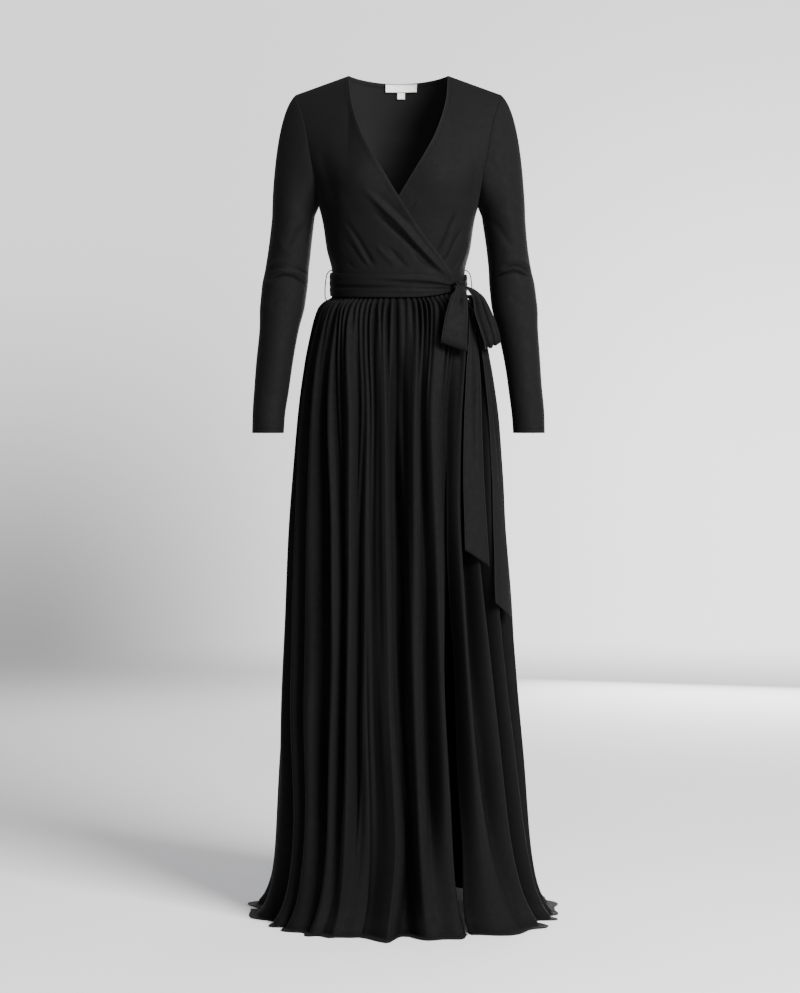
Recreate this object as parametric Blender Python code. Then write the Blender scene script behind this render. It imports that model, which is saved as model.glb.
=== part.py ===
"""Long-sleeved wrap dress, hollow and in its worn pose.

The front faces -Y and +X is the wearer's left.  The origin lies midway between the two high
shoulder points, where the wearer's shoulders hold the dress.  Every size below is in
millimetres and every height is measured from those points, so heights run downwards to the
hem on the floor.  Angles round the body start at the front and grow towards the wearer's left.
"""

from collections import namedtuple

import bmesh
import bpy
import numpy as np

MM = 0.001

# ---------------------------------------------------------------- general sizes
WALL = 1.6
GATHERED_WALL = 2.1
SEAM_GAP = 0.3
HALF_GAP = SEAM_GAP / 2
ROUNDNESS = 2.25

WAIST_SEAM = -378.0
UNDERARM = -232.0
FLOOR = -1480.0
HEM_CLOTH = 1.6

# ---------------------------------------------------------------- bodice
NECK_HALF_WIDTH = 87.5
SHOULDER_TIP = 181.5
SHOULDER_DROP = 34.0
BACK_NECK_DROP = 6.0
NECK_RISE = 52.0
FRONT_SHOULDER_DEPTH = 200.0
BACK_SHOULDER_DEPTH = 150.0
SHOULDER_SOFTNESS = 1.6
SHOULDER_POWER = 0.75

BUST_HEIGHT = -206.0
BUST_OFFSET = 70.0
BUST_FULLNESS = 9.0
BUST_SPREAD = 46.0

BELT_TOP = -356.0
BELT_BOTTOM = -391.0
OVERLAP_LIFT = 2.7
OVERLAP_WALL = 1.4
UNDER_SINK = 0.8
# where the upper front settles back onto the body: across at the low part, height at the top
LIFT_ACROSS = (-112.0, -92.0)
LIFT_HEIGHTS = (-196.0, -150.0)
SINK_ACROSS = 20.0
SINK_HEIGHTS = (-224.0, -190.0)
WRAP_TURN = -230.0
CREASE_FADE_ABOVE_BELT = 26.0
SIDE_CALM = 0.88

Section = namedtuple("Section", "height half_width front back")
TORSO = (
    Section(-378, 116, 90, 84),
    Section(-345, 117.9, 92, 85),
    Section(-307, 127, 98, 88),
    Section(-262, 133.5, 106, 92),
    Section(-232, 141, 111, 95),
    Section(-186, 161, 112, 98),
    Section(-140, 182, 106, 100),
    Section(-89, 205, 98, 98),
    Section(-34, 230, 92, 92),
    Section(60, 250, 88, 88),
)

# half the distance between the armholes, seen from the front
ArmholeSpot = namedtuple("ArmholeSpot", "height half_width")
ARMHOLE = (
    ArmholeSpot(UNDERARM, 141.0),
    ArmholeSpot(-186, 147.0),
    ArmholeSpot(-140, 156.0),
    ArmholeSpot(-89, 165),
    ArmholeSpot(-SHOULDER_DROP, SHOULDER_TIP),
)

# free edge of the upper front: down the neck, past the V and across to the waist
EdgeSpot = namedtuple("EdgeSpot", "height across")
WRAP_EDGE = (
    EdgeSpot(WAIST_SEAM, 99.0),
    EdgeSpot(-361, 93.5),
    EdgeSpot(-333, 77.0),
    EdgeSpot(-283, 39.0),
    EdgeSpot(-224, 0.0),
    EdgeSpot(-181, -26.5),
    EdgeSpot(-148, -46.0),
    EdgeSpot(-115, -62.8),
    EdgeSpot(-76, -76.6),
    EdgeSpot(-38, -84.8),
    EdgeSpot(0, -NECK_HALF_WIDTH),
)

# soft creases and ridges of the bodice, as lines in the front view with a height and a width;
# a ridge stands out and a crease, with a height below zero, sinks in
Crease = namedtuple("Crease", "x0 z0 x1 z1 height width")
RIGHT_FRONT_CREASES = (
    Crease(-30, -261, 81, -357, 3.2, 10),
    Crease(-39, -226, 42, -313, 2.0, 12),
    Crease(-104, -238, -50, -351, 2.4, 11),
    Crease(-76, -306, -36, -352, 1.6, 10),
)
LEFT_FRONT_CREASES = (
    Crease(96, -262, 70, -306, -2.0, 11),
    Crease(106, -270, 92, -326, -1.8, 10),
)
BACK_CREASES = (
    Crease(-60, -230, -20, -300, -2.0, 13),
    Crease(62, -238, 24, -310, -1.8, 13),
    Crease(-88, -318, -20, -352, -1.8, 11),
    Crease(84, -312, 26, -348, -1.8, 11),
)

# the torso is deeper than its section suggests where a rough outward direction is needed
OUTWARD_WEIGHTS = np.array([1.0, 1.4, 0.0])

BODY_ROWS = 5
ARMHOLE_ROWS = 10
FRONT_COLUMNS = 11
BACK_SHOULDER_COLUMNS = 4
BACK_NECK_COLUMNS = 10

# ---------------------------------------------------------------- sleeves
ArmSection = namedtuple("ArmSection", "height centre half_width half_depth forward")
ARM = (
    ArmSection(-254, 186.3, 38.3, 50, 0),
    ArmSection(-307, 192.5, 37.5, 48, -1),
    ArmSection(-342, 197.0, 38.0, 46, -3),
    ArmSection(-372, 201.0, 40.0, 45, -6),
    ArmSection(-405, 204.6, 40.0, 44, -10),
    ArmSection(-449, 210.4, 35.6, 41, -17),
    ArmSection(-502, 217.6, 32.6, 38, -25),
    ArmSection(-556, 223.2, 30.0, 35, -33),
    ArmSection(-602, 227.8, 28.5, 33, -40),
    ArmSection(-632, 229.0, 27.9, 32, -44),
)
ARM_HEIGHTS = (-254, -300, -340, -364, -390, -440, -530, -632)
CAP_STEPS = (0.18, 0.42, 0.7)
CAP_TOP_PULL = (95.0, 80.0)
CAP_BOTTOM_PULL = (4.0, 20.0)
CAP_END_PULL_TOP = 230.0
CAP_END_PULL_BOTTOM = 22.0
CAP_FORWARD_PULL = -34.0
CAP_END_OUTWARD = 8.0
SLEEVE_WALL = 1.5

# creases round the inside of the elbow: height, angle from the outer side, reach, depth
ElbowCrease = namedtuple("ElbowCrease", "height angle reach depth width")
ELBOW = (
    ElbowCrease(-340, 20, 60, 2.6, 9),
    ElbowCrease(-362, 75, 75, 2.8, 9),
    ElbowCrease(-352, 150, 50, 2.0, 9),
)

# ---------------------------------------------------------------- skirt
# fold and gather are half the height of the large folds and of the fine gathers, and sway is
# how far the skirt swings to the wearer's left
Ring = namedtuple("Ring", "height half_width front back fold gather sway")
SKIRT = (
    Ring(-378.3, 115.5, 89.5, 84, 0.3, 0.8, 0),
    Ring(-391, 116.5, 90.5, 85, 0.4, 1.1, 0),
    Ring(-399, 127.5, 97, 93, 0.8, 2.4, 0),
    Ring(-414, 138, 104, 104, 1.4, 3.1, 0),
    Ring(-450, 150, 111, 115, 2.4, 2.9, 0),
    Ring(-510, 163, 119, 127, 3.4, 1.8, -1),
    Ring(-600, 175, 130, 138, 4.4, 0.7, -1.5),
    Ring(-751, 187, 144, 148, 5.8, 0.2, -1),
    Ring(-893, 195, 158, 157, 7.0, 0.0, 0),
    Ring(-1106, 206, 180, 170, 8.6, 0.0, 1.5),
    Ring(-1319, 219, 203, 184, 10.0, 0.0, 6),
    Ring(-1405, 227, 213, 191, 10.6, 0.0, 8),
    Ring(-1462, 242, 227, 201, 11.0, 0.0, 9),
    Ring(FLOOR + HEM_CLOTH, 254, 240, 212, 10.0, 0.0, 9),
)
SKIRT_HEIGHTS = (-378.3, -391, -399, -418, -465, -570, -815, -1070, -1320, -1452)
GATHERS_END = -620.0
HEM_BEND = 0.75
WAIST_TILT_FRONT = 7.0
WAIST_TILT_BACK = 3.0
WAIST_TILT_END = -560.0
VALLEY_SHARPNESS = 1.5
COLUMNS_PER_GATHER = 3

# where each fold runs: its angle round the body at six heights, how deep it is beside the
# others, how far its hem kicks out on the floor, and how many gathers lie between it and the
# next one; edges sit in half phases
FOLD_HEIGHTS = (-378, -625, -815, -1070, -1320, -1470)
Fold = namedtuple("Fold", "name phase waist hip thigh calf hem floor depth kick gathers")
FRONT_RIGHT_FOLDS = (
    Fold("side_seam", -0.5, -90, -90, -90, -90, -90, -90, 0.7, 22, 1),
    Fold("side_a", 0, -82, -80, -78, -76, -74, -76, 0.8, 8, 2),
    Fold("side_b", 1, -71, -70, -64.7, -61, -53.6, -56, 0.9, 4, 2),
    Fold("hip_a", 2, -60, -54, -51.2, -48.4, -44.2, -46, 0.9, 8, 2),
    Fold("hip_b", 3, -48, -38.8, -34.5, -33, -34.3, -36, 1.0, 12, 3),
    Fold("thigh_a", 4, -35, -24, -23, -22.4, -23.9, -25, 1.1, 13, 3),
    Fold("thigh_b", 5, -22, -14.4, -14.4, -13.6, -12.4, -14, 0.6, 14, 3),
    Fold("centre", 6, -8, -5.2, -4.6, -3.6, -1.9, -4.5, 1.6, 18, 4),
    Fold("centre_left", 7, 11, 7.7, 7.0, 6.3, 6.4, 7.4, 0.9, 13, 4),
    Fold("slit_fold", 8, 28, 17.3, 16.6, 15.4, 16.6, 17, 1.1, 12, 3),
    Fold("slit", 8.5, 43.92, 27.45, 24.85, 22.2, 22.1, 22.7, 0.6, 10, 0),
)
FRONT_LEFT_FOLDS = (
    Fold("slit", 8.5, 44.08, 27.55, 24.95, 28.2, 27.1, 23.9, 0.6, 10, 1),
    Fold("slit_side", 9, 51, 33.5, 31.5, 34.2, 34.3, 31.5, 1.0, 20, 2),
    Fold("hip_left_a", 10, 61, 45, 41, 45.3, 46.8, 46, 1.1, 16, 2),
    Fold("hip_left_b", 11, 71, 58.9, 52, 58.5, 57.5, 58, 0.8, 8, 2),
    Fold("side_left", 12, 82, 71, 68, 69.6, 68.1, 72, 1.0, 6, 1),
    Fold("side_seam", 12.5, 90, 90, 90, 90, 90, 90, 0.7, 24, 0),
)
BACK_FOLDS = (
    Fold("side_seam", 12.5, 90, 90, 90, 90, 90, 90, 0.7, 24, 1),
    Fold("back_a", 13, 98, 99, 100, 100, 99, 101, 0.9, 14, 3),
    Fold("back_b", 14, 113, 114, 113, 115, 117, 116, 1.1, 10, 3),
    Fold("back_c", 15, 128, 130, 131, 129, 130, 131, 0.8, 14, 3),
    Fold("back_d", 16, 143, 143, 144, 147, 149, 148, 1.2, 12, 3),
    Fold("back_e", 17, 158, 159, 158, 160, 162, 163, 0.9, 9, 3),
    Fold("back_f", 18, 173, 172, 175, 176, 175, 177, 1.2, 15, 3),
    Fold("back_g", 19, 188, 190, 188, 190, 193, 192, 0.8, 11, 3),
    Fold("back_h", 20, 203, 202, 205, 206, 205, 206, 1.1, 13, 3),
    Fold("back_i", 21, 218, 220, 219, 218, 221, 220, 0.9, 9, 3),
    Fold("back_j", 22, 233, 232, 231, 234, 235, 234, 1.2, 12, 3),
    Fold("back_k", 23, 248, 249, 247, 246, 247, 246, 0.9, 12, 3),
    Fold("back_l", 24, 262, 260, 261, 259, 260, 259, 0.9, 14, 1),
    Fold("side_seam", 24.5, 270, 270, 270, 270, 270, 270, 0.7, 22, 0),
)

# ---------------------------------------------------------------- belt
# gap between the body and the belt: at the sides and behind, and over the lapped fronts
SASH_CLEARANCE = 3.4
SASH_FRONT_CLEARANCE = 3.9
SASH_WALL = 2.0
SASH_HEIGHT = -368.0
SASH_COLUMNS = 40
SashSpot = namedtuple("SashSpot", "angle top bottom")
SASH = (
    SashSpot(-180, -346, -388),
    SashSpot(-90, -349, -389),
    SashSpot(-30, -349, -390.5),
    SashSpot(10, -349, -390.5),
    SashSpot(30, -354, -386),
    SashSpot(46, -364, -380),
    SashSpot(62, -366, -380),
    SashSpot(90, -351, -387),
    SashSpot(180, -346, -388),
)
# soft lengthways folds of the belt: share of its height and how far they stand out
SASH_RIDGES = ((0.0, 0.0), (0.3, 1.3), (0.52, 0.2), (0.78, 1.2), (1.0, 0.0))

KNOT_ANGLE = 53.0
KNOT_HEIGHT = -379.0
KNOT_HALF = (15.0, 9.0, 11.0)
KNOT_RINGS = 8
KNOT_SIDES = 14
KNOT_GAP = 2.6

# paths of the hanging pieces: height, distance across, distance forward of the middle, width,
# the direction the band faces (0 is the front, 90 the wearer's left) and how much lower its
# edge on the wearer's left lies than the other one
Hang = namedtuple("Hang", "height across forward width face tilt")
LOOP_FRONT = (
    Hang(-384, 110, 88, 16, 38, 0),
    Hang(-397, 105.5, 99, 32, 26, 2),
    Hang(-424, 101.7, 112, 39, 20, 6),
    Hang(-452, 98.5, 119.5, 43, 17, 10),
    Hang(-475, 96.2, 121, 46, 16, 13),
    Hang(-484, 96, 116, 46.5, 17, 14),
    Hang(-476, 97.5, 110.5, 45.5, 20, 12),
    Hang(-453, 100, 104.5, 40, 27, 8),
    Hang(-425, 103, 96.5, 33, 31, 4),
    Hang(-402, 107, 85.5, 22, 36, 1),
    Hang(-392, 109.5, 78, 13, 40, 0),
)
LOOP_BACK = (
    Hang(-386, 128, 72, 12, 55, 0),
    Hang(-398, 137, 77, 24, 50, -2),
    Hang(-422, 147, 80, 40, 42, -6),
    Hang(-450, 156.5, 82, 42, 44, -9),
    Hang(-473, 163.5, 81, 41, 46, -12),
    Hang(-482, 162.5, 76, 40, 46, -13),
    Hang(-474, 159, 70, 38, 48, -12),
    Hang(-450, 152, 66, 34, 50, -8),
    Hang(-424, 143, 62, 26, 52, -4),
    Hang(-402, 133, 56, 16, 54, -1),
    Hang(-392, 125, 53, 9, 55, 0),
)
TAIL_FRONT = (
    Hang(-392.5, 103.2, 62.1, 7, 45.6, 0),
    Hang(-418, 122.8, 69.4, 10, 48.2, 0),
    Hang(-470, 129.4, 82.2, 20, 43.0, 0),
    Hang(-519, 130.0, 92.4, 30, 38.8, 0),
    Hang(-600, 129.3, 106.7, 36, 31.7, 0),
    Hang(-700, 129.6, 119.3, 41, 26.5, 2),
    Hang(-848, 135.6, 133.8, 46, 24.7, 29),
)
TAIL_BACK = (
    Hang(-392.5, 108.8, 55.8, 6, 51.3, 0),
    Hang(-430, 134.9, 60.3, 14, 55.8, 0),
    Hang(-520, 156.6, 62.8, 28, 58.4, 0),
    Hang(-644, 169.5, 70.2, 36, 58.8, 0),
    Hang(-799, 176.3, 86.6, 42, 55.5, 2),
    Hang(-940, 182.0, 99.9, 46, 54.5, 29),
)
BELT_WALL = 1.4
LOOP_STEPS = 20
TAIL_STEPS = 12
STRIP_COLUMNS = 4
STRIP_CAMBER = 1.5
WIDE_STRIP = 40.0

CARRIER_RADIUS = 0.9
# the thread loop's path in a side view: distance out from the middle, height
CARRIER_PATH = (
    (120.9, -344.0),
    (125.0, -345.3),
    (129.5, -351.0),
    (131.4, -368.0),
    (130.6, -382.0),
    (127.6, -388.4),
)

# ---------------------------------------------------------------- labels
LABEL_ACROSS = 4.7
LABEL_WIDTH = 57.0
LABEL_HEIGHT = 13.0
LABEL_DROP = 1.5
SIZE_LABEL_WIDTH = 14.0
SIZE_LABEL_HEIGHT = 11.0
SIZE_LABEL_OFFSET = 0.6
LABEL_WALL = 0.8
LABEL_GAP = 1.3

# ---------------------------------------------------------------- cloths: colour, roughness, metallic
JERSEY = ("black_jersey", (0.017, 0.017, 0.019, 1.0), 0.86, 0.0)
BELT_JERSEY = ("black_jersey_belt", (0.018, 0.018, 0.020, 1.0), 0.84, 0.0)
THREAD = ("black_thread", (0.014, 0.014, 0.015, 1.0), 0.7, 0.0)
WHITE_TAPE = ("white_label_tape", (0.78, 0.78, 0.76, 1.0), 0.6, 0.0)


def read(table, column, at, key="height"):
    """Value of a table's column at a height, on a smooth curve that never overshoots its rows."""
    rows = sorted(table, key=lambda row: getattr(row, key))
    spots = np.array([getattr(row, key) for row in rows], dtype=float)
    values = np.array([getattr(row, column) for row in rows], dtype=float)
    steps = np.diff(spots)
    rises = np.diff(values) / steps
    slopes = np.zeros(len(spots))
    slopes[0], slopes[-1] = rises[0], rises[-1]
    same = rises[:-1] * rises[1:] > 0
    before, after = rises[:-1][same], rises[1:][same]
    slopes[1:-1][same] = 2 * before * after / (before + after)
    at = np.clip(np.asarray(at, dtype=float), spots[0], spots[-1])
    i = np.clip(np.searchsorted(spots, at, side="right") - 1, 0, len(steps) - 1)
    t = (at - spots[i]) / steps[i]
    start = values[i] * (1 + 2 * t) * (1 - t) ** 2 + values[i + 1] * t * t * (3 - 2 * t)
    bend = slopes[i] * t * (1 - t) ** 2 + slopes[i + 1] * t * t * (t - 1)
    return start + bend * steps[i]


def smooth(low, high, value):
    """0 below low, 1 above high, and an S-shaped curve between them."""
    t = np.clip((np.asarray(value, dtype=float) - low) / (high - low), 0.0, 1.0)
    return t * t * (3 - 2 * t)


def unit(vectors):
    """The same vectors with a length of one."""
    return vectors / np.maximum(np.linalg.norm(vectors, axis=-1, keepdims=True), 1e-9)


def power(value, exponent):
    """A power that keeps its sign."""
    return np.sign(value) * np.abs(value) ** exponent


def oval(angle, half_width, front, back):
    """Point and outward direction in plan on a rounded oval; angle 0 is the middle of the front."""
    across = power(np.sin(angle), 2 / ROUNDNESS)
    along = power(np.cos(angle), 2 / ROUNDNESS)
    depth = np.where(along > 0, front, back)
    x, y = half_width * across, -depth * along
    normal_x = power(across, ROUNDNESS - 1) / half_width
    normal_y = -power(along, ROUNDNESS - 1) / depth
    length = np.hypot(normal_x, normal_y)
    return x, y, normal_x / length, normal_y / length


# ---------------------------------------------------------------- meshes

def cloth_material(cloth):
    """The plain material of one cloth."""
    name, colour, roughness, metallic = cloth
    material = bpy.data.materials.get(name)
    if material is None:
        material = bpy.data.materials.new(name)
        material.use_nodes = True
        shader = material.node_tree.nodes["Principled BSDF"]
        shader.inputs["Base Color"].default_value = colour
        shader.inputs["Roughness"].default_value = roughness
        shader.inputs["Metallic"].default_value = metallic
    return material


def add_solid(name, points, faces, cloth):
    """One closed solid from points in millimetres, with its faces turned outwards."""
    mesh = bpy.data.meshes.new(name)
    mesh.from_pydata((np.asarray(points) * MM).tolist(), [], [list(face) for face in faces])
    work = bmesh.new()
    work.from_mesh(mesh)
    bmesh.ops.recalc_face_normals(work, faces=work.faces)
    work.to_mesh(mesh)
    work.free()
    mesh.shade_smooth()
    mesh.materials.append(cloth_material(cloth))
    piece = bpy.data.objects.new(name, mesh)
    bpy.context.collection.objects.link(piece)
    return piece


def add_wall(name, outer, inner, cloth, closed=False):
    """A cloth wall between two grids of points; closed joins the last column to the first."""
    rows, columns = outer.shape[:2]
    here = np.arange(rows * columns).reshape(rows, columns)
    after = np.roll(here, -1, axis=1) if closed else here[:, 1:]
    here = here if closed else here[:, :-1]
    inside = rows * columns
    a, b, c, d = here[:-1].ravel(), after[:-1].ravel(), after[1:].ravel(), here[1:].ravel()
    faces = np.concatenate([
        np.stack([a, d, c], 1), np.stack([a, c, b], 1),
        np.stack([a, c, d], 1) + inside, np.stack([a, b, c], 1) + inside,
    ]).tolist()
    for row, flip in ((0, False), (rows - 1, True)):
        for left, right in zip(here[row], after[row]):
            strip = (left, right, right + inside, left + inside)
            faces.append(strip[::-1] if flip else strip)
    if not closed:
        ids = np.arange(rows * columns).reshape(rows, columns)
        for column, flip in ((0, True), (columns - 1, False)):
            for top, bottom in zip(ids[:-1, column], ids[1:, column]):
                strip = (top, bottom, bottom + inside, top + inside)
                faces.append(strip[::-1] if flip else strip)
    points = np.concatenate([outer.reshape(-1, 3), inner.reshape(-1, 3)])
    return add_solid(name, points, faces, cloth)


def grid_normals(points, outward):
    """Unit normals of a grid of points, on the side that outward points to."""
    down = np.gradient(points, axis=0)
    along = np.gradient(points, axis=1)
    normals = unit(np.cross(along, down))
    side = np.sign(np.sum(normals * outward, axis=-1, keepdims=True))
    return normals * np.where(side == 0, 1, side)


# ---------------------------------------------------------------- bodice

def shoulder_line(x):
    """Height of the shoulder seam, carried on up the neck inside the neckline."""
    x = np.abs(x)
    slope = -SHOULDER_DROP * (x - NECK_HALF_WIDTH) / (SHOULDER_TIP - NECK_HALF_WIDTH)
    neck = NECK_RISE * (1 - (x / NECK_HALF_WIDTH) ** 2)
    return np.where(x > NECK_HALF_WIDTH, slope, neck)


def shoulder_round(x, z, reach):
    """Share of the body's depth that is reached below the shoulder: 0 on the seam, 1 lower down."""
    fall = np.clip((shoulder_line(x) - z) / reach, 0.0, 1.0)
    return (1 - (1 - fall) ** SHOULDER_SOFTNESS) ** SHOULDER_POWER


def bust(x, z):
    """How far the cloth stands out over the bust."""
    near = (np.abs(x) - BUST_OFFSET) ** 2 + (z - BUST_HEIGHT) ** 2
    return BUST_FULLNESS * np.exp(-near / BUST_SPREAD ** 2)


def crease_relief(creases, x, z):
    """Sum of soft ridges and troughs along short lines; each fades out at both ends."""
    total = np.zeros_like(x)
    for crease in creases:
        dx, dz = crease.x1 - crease.x0, crease.z1 - crease.z0
        length = np.hypot(dx, dz)
        along = ((x - crease.x0) * dx + (z - crease.z0) * dz) / length
        across = ((x - crease.x0) * dz - (z - crease.z0) * dx) / length
        rising = smooth(-0.15 * length, 0.3 * length, along)
        fade = rising * (1 - smooth(0.7 * length, 1.15 * length, along))
        total += crease.height * fade * np.exp(-(across / crease.width) ** 2)
    return total * smooth(BELT_TOP, BELT_TOP + CREASE_FADE_ABOVE_BELT, z)


def body_angle(x, z):
    """Angle round the torso's section at which the cloth reaches a given distance across."""
    share = np.clip(np.abs(x) / read(TORSO, "half_width", z), 0.0, 1.0)
    return np.sign(x) * np.arcsin(share ** (ROUNDNESS / 2))


def body_row(inner_x, inner_z, outer_x, outer_z, steps):
    """Points of one row, from an inner edge to an outer one, spaced evenly round the torso."""
    start, end = body_angle(inner_x, inner_z), body_angle(outer_x, outer_z)
    angle = start + (end - start) * steps
    z = inner_z + (outer_z - inner_z) * steps
    for _ in range(4):
        x = read(TORSO, "half_width", z) * power(np.sin(angle), 2 / ROUNDNESS)
        z = inner_z + (outer_z - inner_z) * (x - inner_x) / (outer_x - inner_x)
    return x, z, angle


def body_depth(angle, x, z, face):
    """Distance of the cloth in front of or behind the middle of the body."""
    column, reach = ("front", FRONT_SHOULDER_DEPTH) if face == "front" else ("back", BACK_SHOULDER_DEPTH)
    depth = read(TORSO, column, z) * np.abs(np.cos(angle)) ** (2 / ROUNDNESS)
    if face == "front":
        depth = depth + bust(x, z) * np.abs(np.cos(angle)) ** 0.5
    return depth * shoulder_round(x, z, reach)


def armhole_heights():
    """Heights of the armhole's points from the underarm up, closer together at both ends."""
    step = np.arange(ARMHOLE_ROWS + 1) / ARMHOLE_ROWS
    return UNDERARM + (-SHOULDER_DROP - UNDERARM) * (1 - np.cos(np.pi * step)) / 2


def side_reach(height):
    """Distance from the middle to the side seam, or above it to the armhole."""
    at_side = read(TORSO, "half_width", height)
    at_armhole = read(ARMHOLE, "half_width", height)
    return np.where(height < UNDERARM, at_side, at_armhole)


def front_grid(side, creases):
    """Outer points of one front; side is -1 for the wearer's right, which laps over the left one."""
    body = np.linspace(WAIST_SEAM, UNDERARM, BODY_ROWS + 1)[:-1]
    outer_z = np.concatenate([body, armhole_heights()])
    outer_x = side_reach(outer_z)
    body_inner = np.linspace(WAIST_SEAM, WRAP_TURN, BODY_ROWS + 1)[:-1]
    neck_inner = np.linspace(WRAP_TURN, 0.0, ARMHOLE_ROWS + 1)
    inner_z = np.concatenate([body_inner, neck_inner])
    inner_x = read(WRAP_EDGE, "across", inner_z)
    steps = np.linspace(0, 1, FRONT_COLUMNS + 1)
    rows = []
    for k in range(len(outer_z)):
        x, z, angle = body_row(inner_x[k], inner_z[k], -outer_x[k], outer_z[k], steps)
        depth = body_depth(angle, x, z, "front")
        rows.append(np.stack([x, -depth, z], axis=-1))
    points = np.array(rows)
    points[..., 0] *= -side
    x, z = points[..., 0], points[..., 2]
    relief = crease_relief(creases, x, z) * (1 - smooth(SIDE_CALM, 1.0, steps))
    return points, relief


def side_unit(points):
    """Rough outward directions of torso points."""
    return unit(points * OUTWARD_WEIGHTS)


def seam_normals(normals):
    """Normals turned so that neighbours meet square at the waist, side and shoulder seams."""
    normals = normals.copy()
    normals[0, :, 2] = 0
    normals[:BODY_ROWS + 1, -1, 1] = 0
    normals[-1, :, 1] = 0
    return unit(normals)


def front_panel(side, creases):
    """Outer points and normals of one front, with the lift of the upper one over the lower."""
    points, relief = front_grid(side, creases)
    normals = grid_normals(points, side_unit(points))
    normals[-1] = unit(np.stack([np.sign(points[-1, :, 0]) * SHOULDER_DROP,
                                 0 * points[-1, :, 0],
                                 0 * points[-1, :, 0] + SHOULDER_TIP - NECK_HALF_WIDTH], axis=-1))
    normals = seam_normals(normals)
    lift = relief
    x, z = points[..., 0], points[..., 2]
    if side > 0:
        beside = x - read(WRAP_EDGE, "across", z)
        lift = lift - UNDER_SINK * (1 - smooth(0.0, SINK_ACROSS, beside)) * (1 - smooth(*SINK_HEIGHTS, z))
    else:
        over = smooth(*LIFT_ACROSS, x) * (1 - smooth(*LIFT_HEIGHTS, z))
        lift = lift + OVERLAP_LIFT * over
    points = points + normals * lift[..., None]
    points[:BODY_ROWS + 1, -1, 1] = -HALF_GAP
    points[-1, :, 1] = -HALF_GAP
    return points, normals


def back_panel():
    """Outer points and normals of the back."""
    body = np.linspace(WAIST_SEAM, UNDERARM, BODY_ROWS + 1)[:-1]
    outer_z = np.concatenate([body, armhole_heights()])
    outer_x = side_reach(outer_z)
    spread = np.clip((outer_z - UNDERARM) / (-SHOULDER_DROP - UNDERARM), 0, 1)
    half = BACK_NECK_COLUMNS // 2
    neck_share = half / (half + BACK_SHOULDER_COLUMNS)
    across = np.linspace(-1, 1, 2 * (half + BACK_SHOULDER_COLUMNS) + 1)
    tip_angle = body_angle(SHOULDER_TIP, -SHOULDER_DROP)
    neck_angle = body_angle(NECK_HALF_WIDTH, 0.0)
    neck_part = np.minimum(np.abs(across) / neck_share, 1) * neck_angle
    past_neck = np.clip((np.abs(across) - neck_share) / (1 - neck_share), 0, 1)
    shoulder_part = past_neck * (tip_angle - neck_angle)
    warped = np.sign(across) * (neck_part + shoulder_part) / tip_angle
    rows = []
    for k in range(len(outer_z)):
        edge = body_angle(outer_x[k], outer_z[k])
        angle = edge * (across * (1 - spread[k]) + warped * spread[k])
        z = np.full_like(angle, outer_z[k])
        for _ in range(5):
            x = read(TORSO, "half_width", z) * power(np.sin(angle), 2 / ROUNDNESS)
            neck_drop = BACK_NECK_DROP * (1 - np.clip(np.abs(x) / NECK_HALF_WIDTH, 0, 1) ** 2)
            top = np.where(np.abs(x) > NECK_HALF_WIDTH, shoulder_line(x), -neck_drop)
            z = outer_z[k] + spread[k] * (top + SHOULDER_DROP)
        x[0], x[-1] = -outer_x[k], outer_x[k]
        z[0], z[-1] = outer_z[k], outer_z[k]
        depth = body_depth(angle, x, z, "back")
        rows.append(np.stack([x, depth, z], axis=-1))
    points = np.array(rows)
    normals = grid_normals(points, side_unit(points))
    shoulder = np.abs(points[-1, :, 0]) > NECK_HALF_WIDTH - 0.01
    flat = unit(np.array([SHOULDER_DROP, 0, SHOULDER_TIP - NECK_HALF_WIDTH]))
    sides = np.sign(points[-1, shoulder, 0])
    normals[-1, shoulder] = flat * np.stack([sides, 0 * sides, 1 + 0 * sides], axis=-1)
    normals[0, :, 2] = 0
    normals[:BODY_ROWS + 1, 0, 1] = 0
    normals[:BODY_ROWS + 1, -1, 1] = 0
    normals = unit(normals)
    relief = crease_relief(BACK_CREASES, points[..., 0], points[..., 2])
    points = points + normals * relief[..., None]
    points[:BODY_ROWS + 1, 0, 1] = HALF_GAP
    points[:BODY_ROWS + 1, -1, 1] = HALF_GAP
    points[-1, shoulder, 1] = HALF_GAP
    return points, normals


# ---------------------------------------------------------------- sleeves

def armhole_loop(side, front, back):
    """The armhole's points and bodice normals: from the shoulder tip down the front, up the back."""
    front_points, front_normals = front
    back_points, back_normals = back
    column = 0 if side < 0 else -1
    start = BODY_ROWS
    down = slice(None, start - 1 if start else None, -1)
    front_edge, front_out = front_points[down, -1], front_normals[down, -1]
    back_edge, back_out = back_points[start + 1:-1, column], back_normals[start + 1:-1, column]
    return np.concatenate([front_edge, back_edge]), np.concatenate([front_out, back_out])


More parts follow.
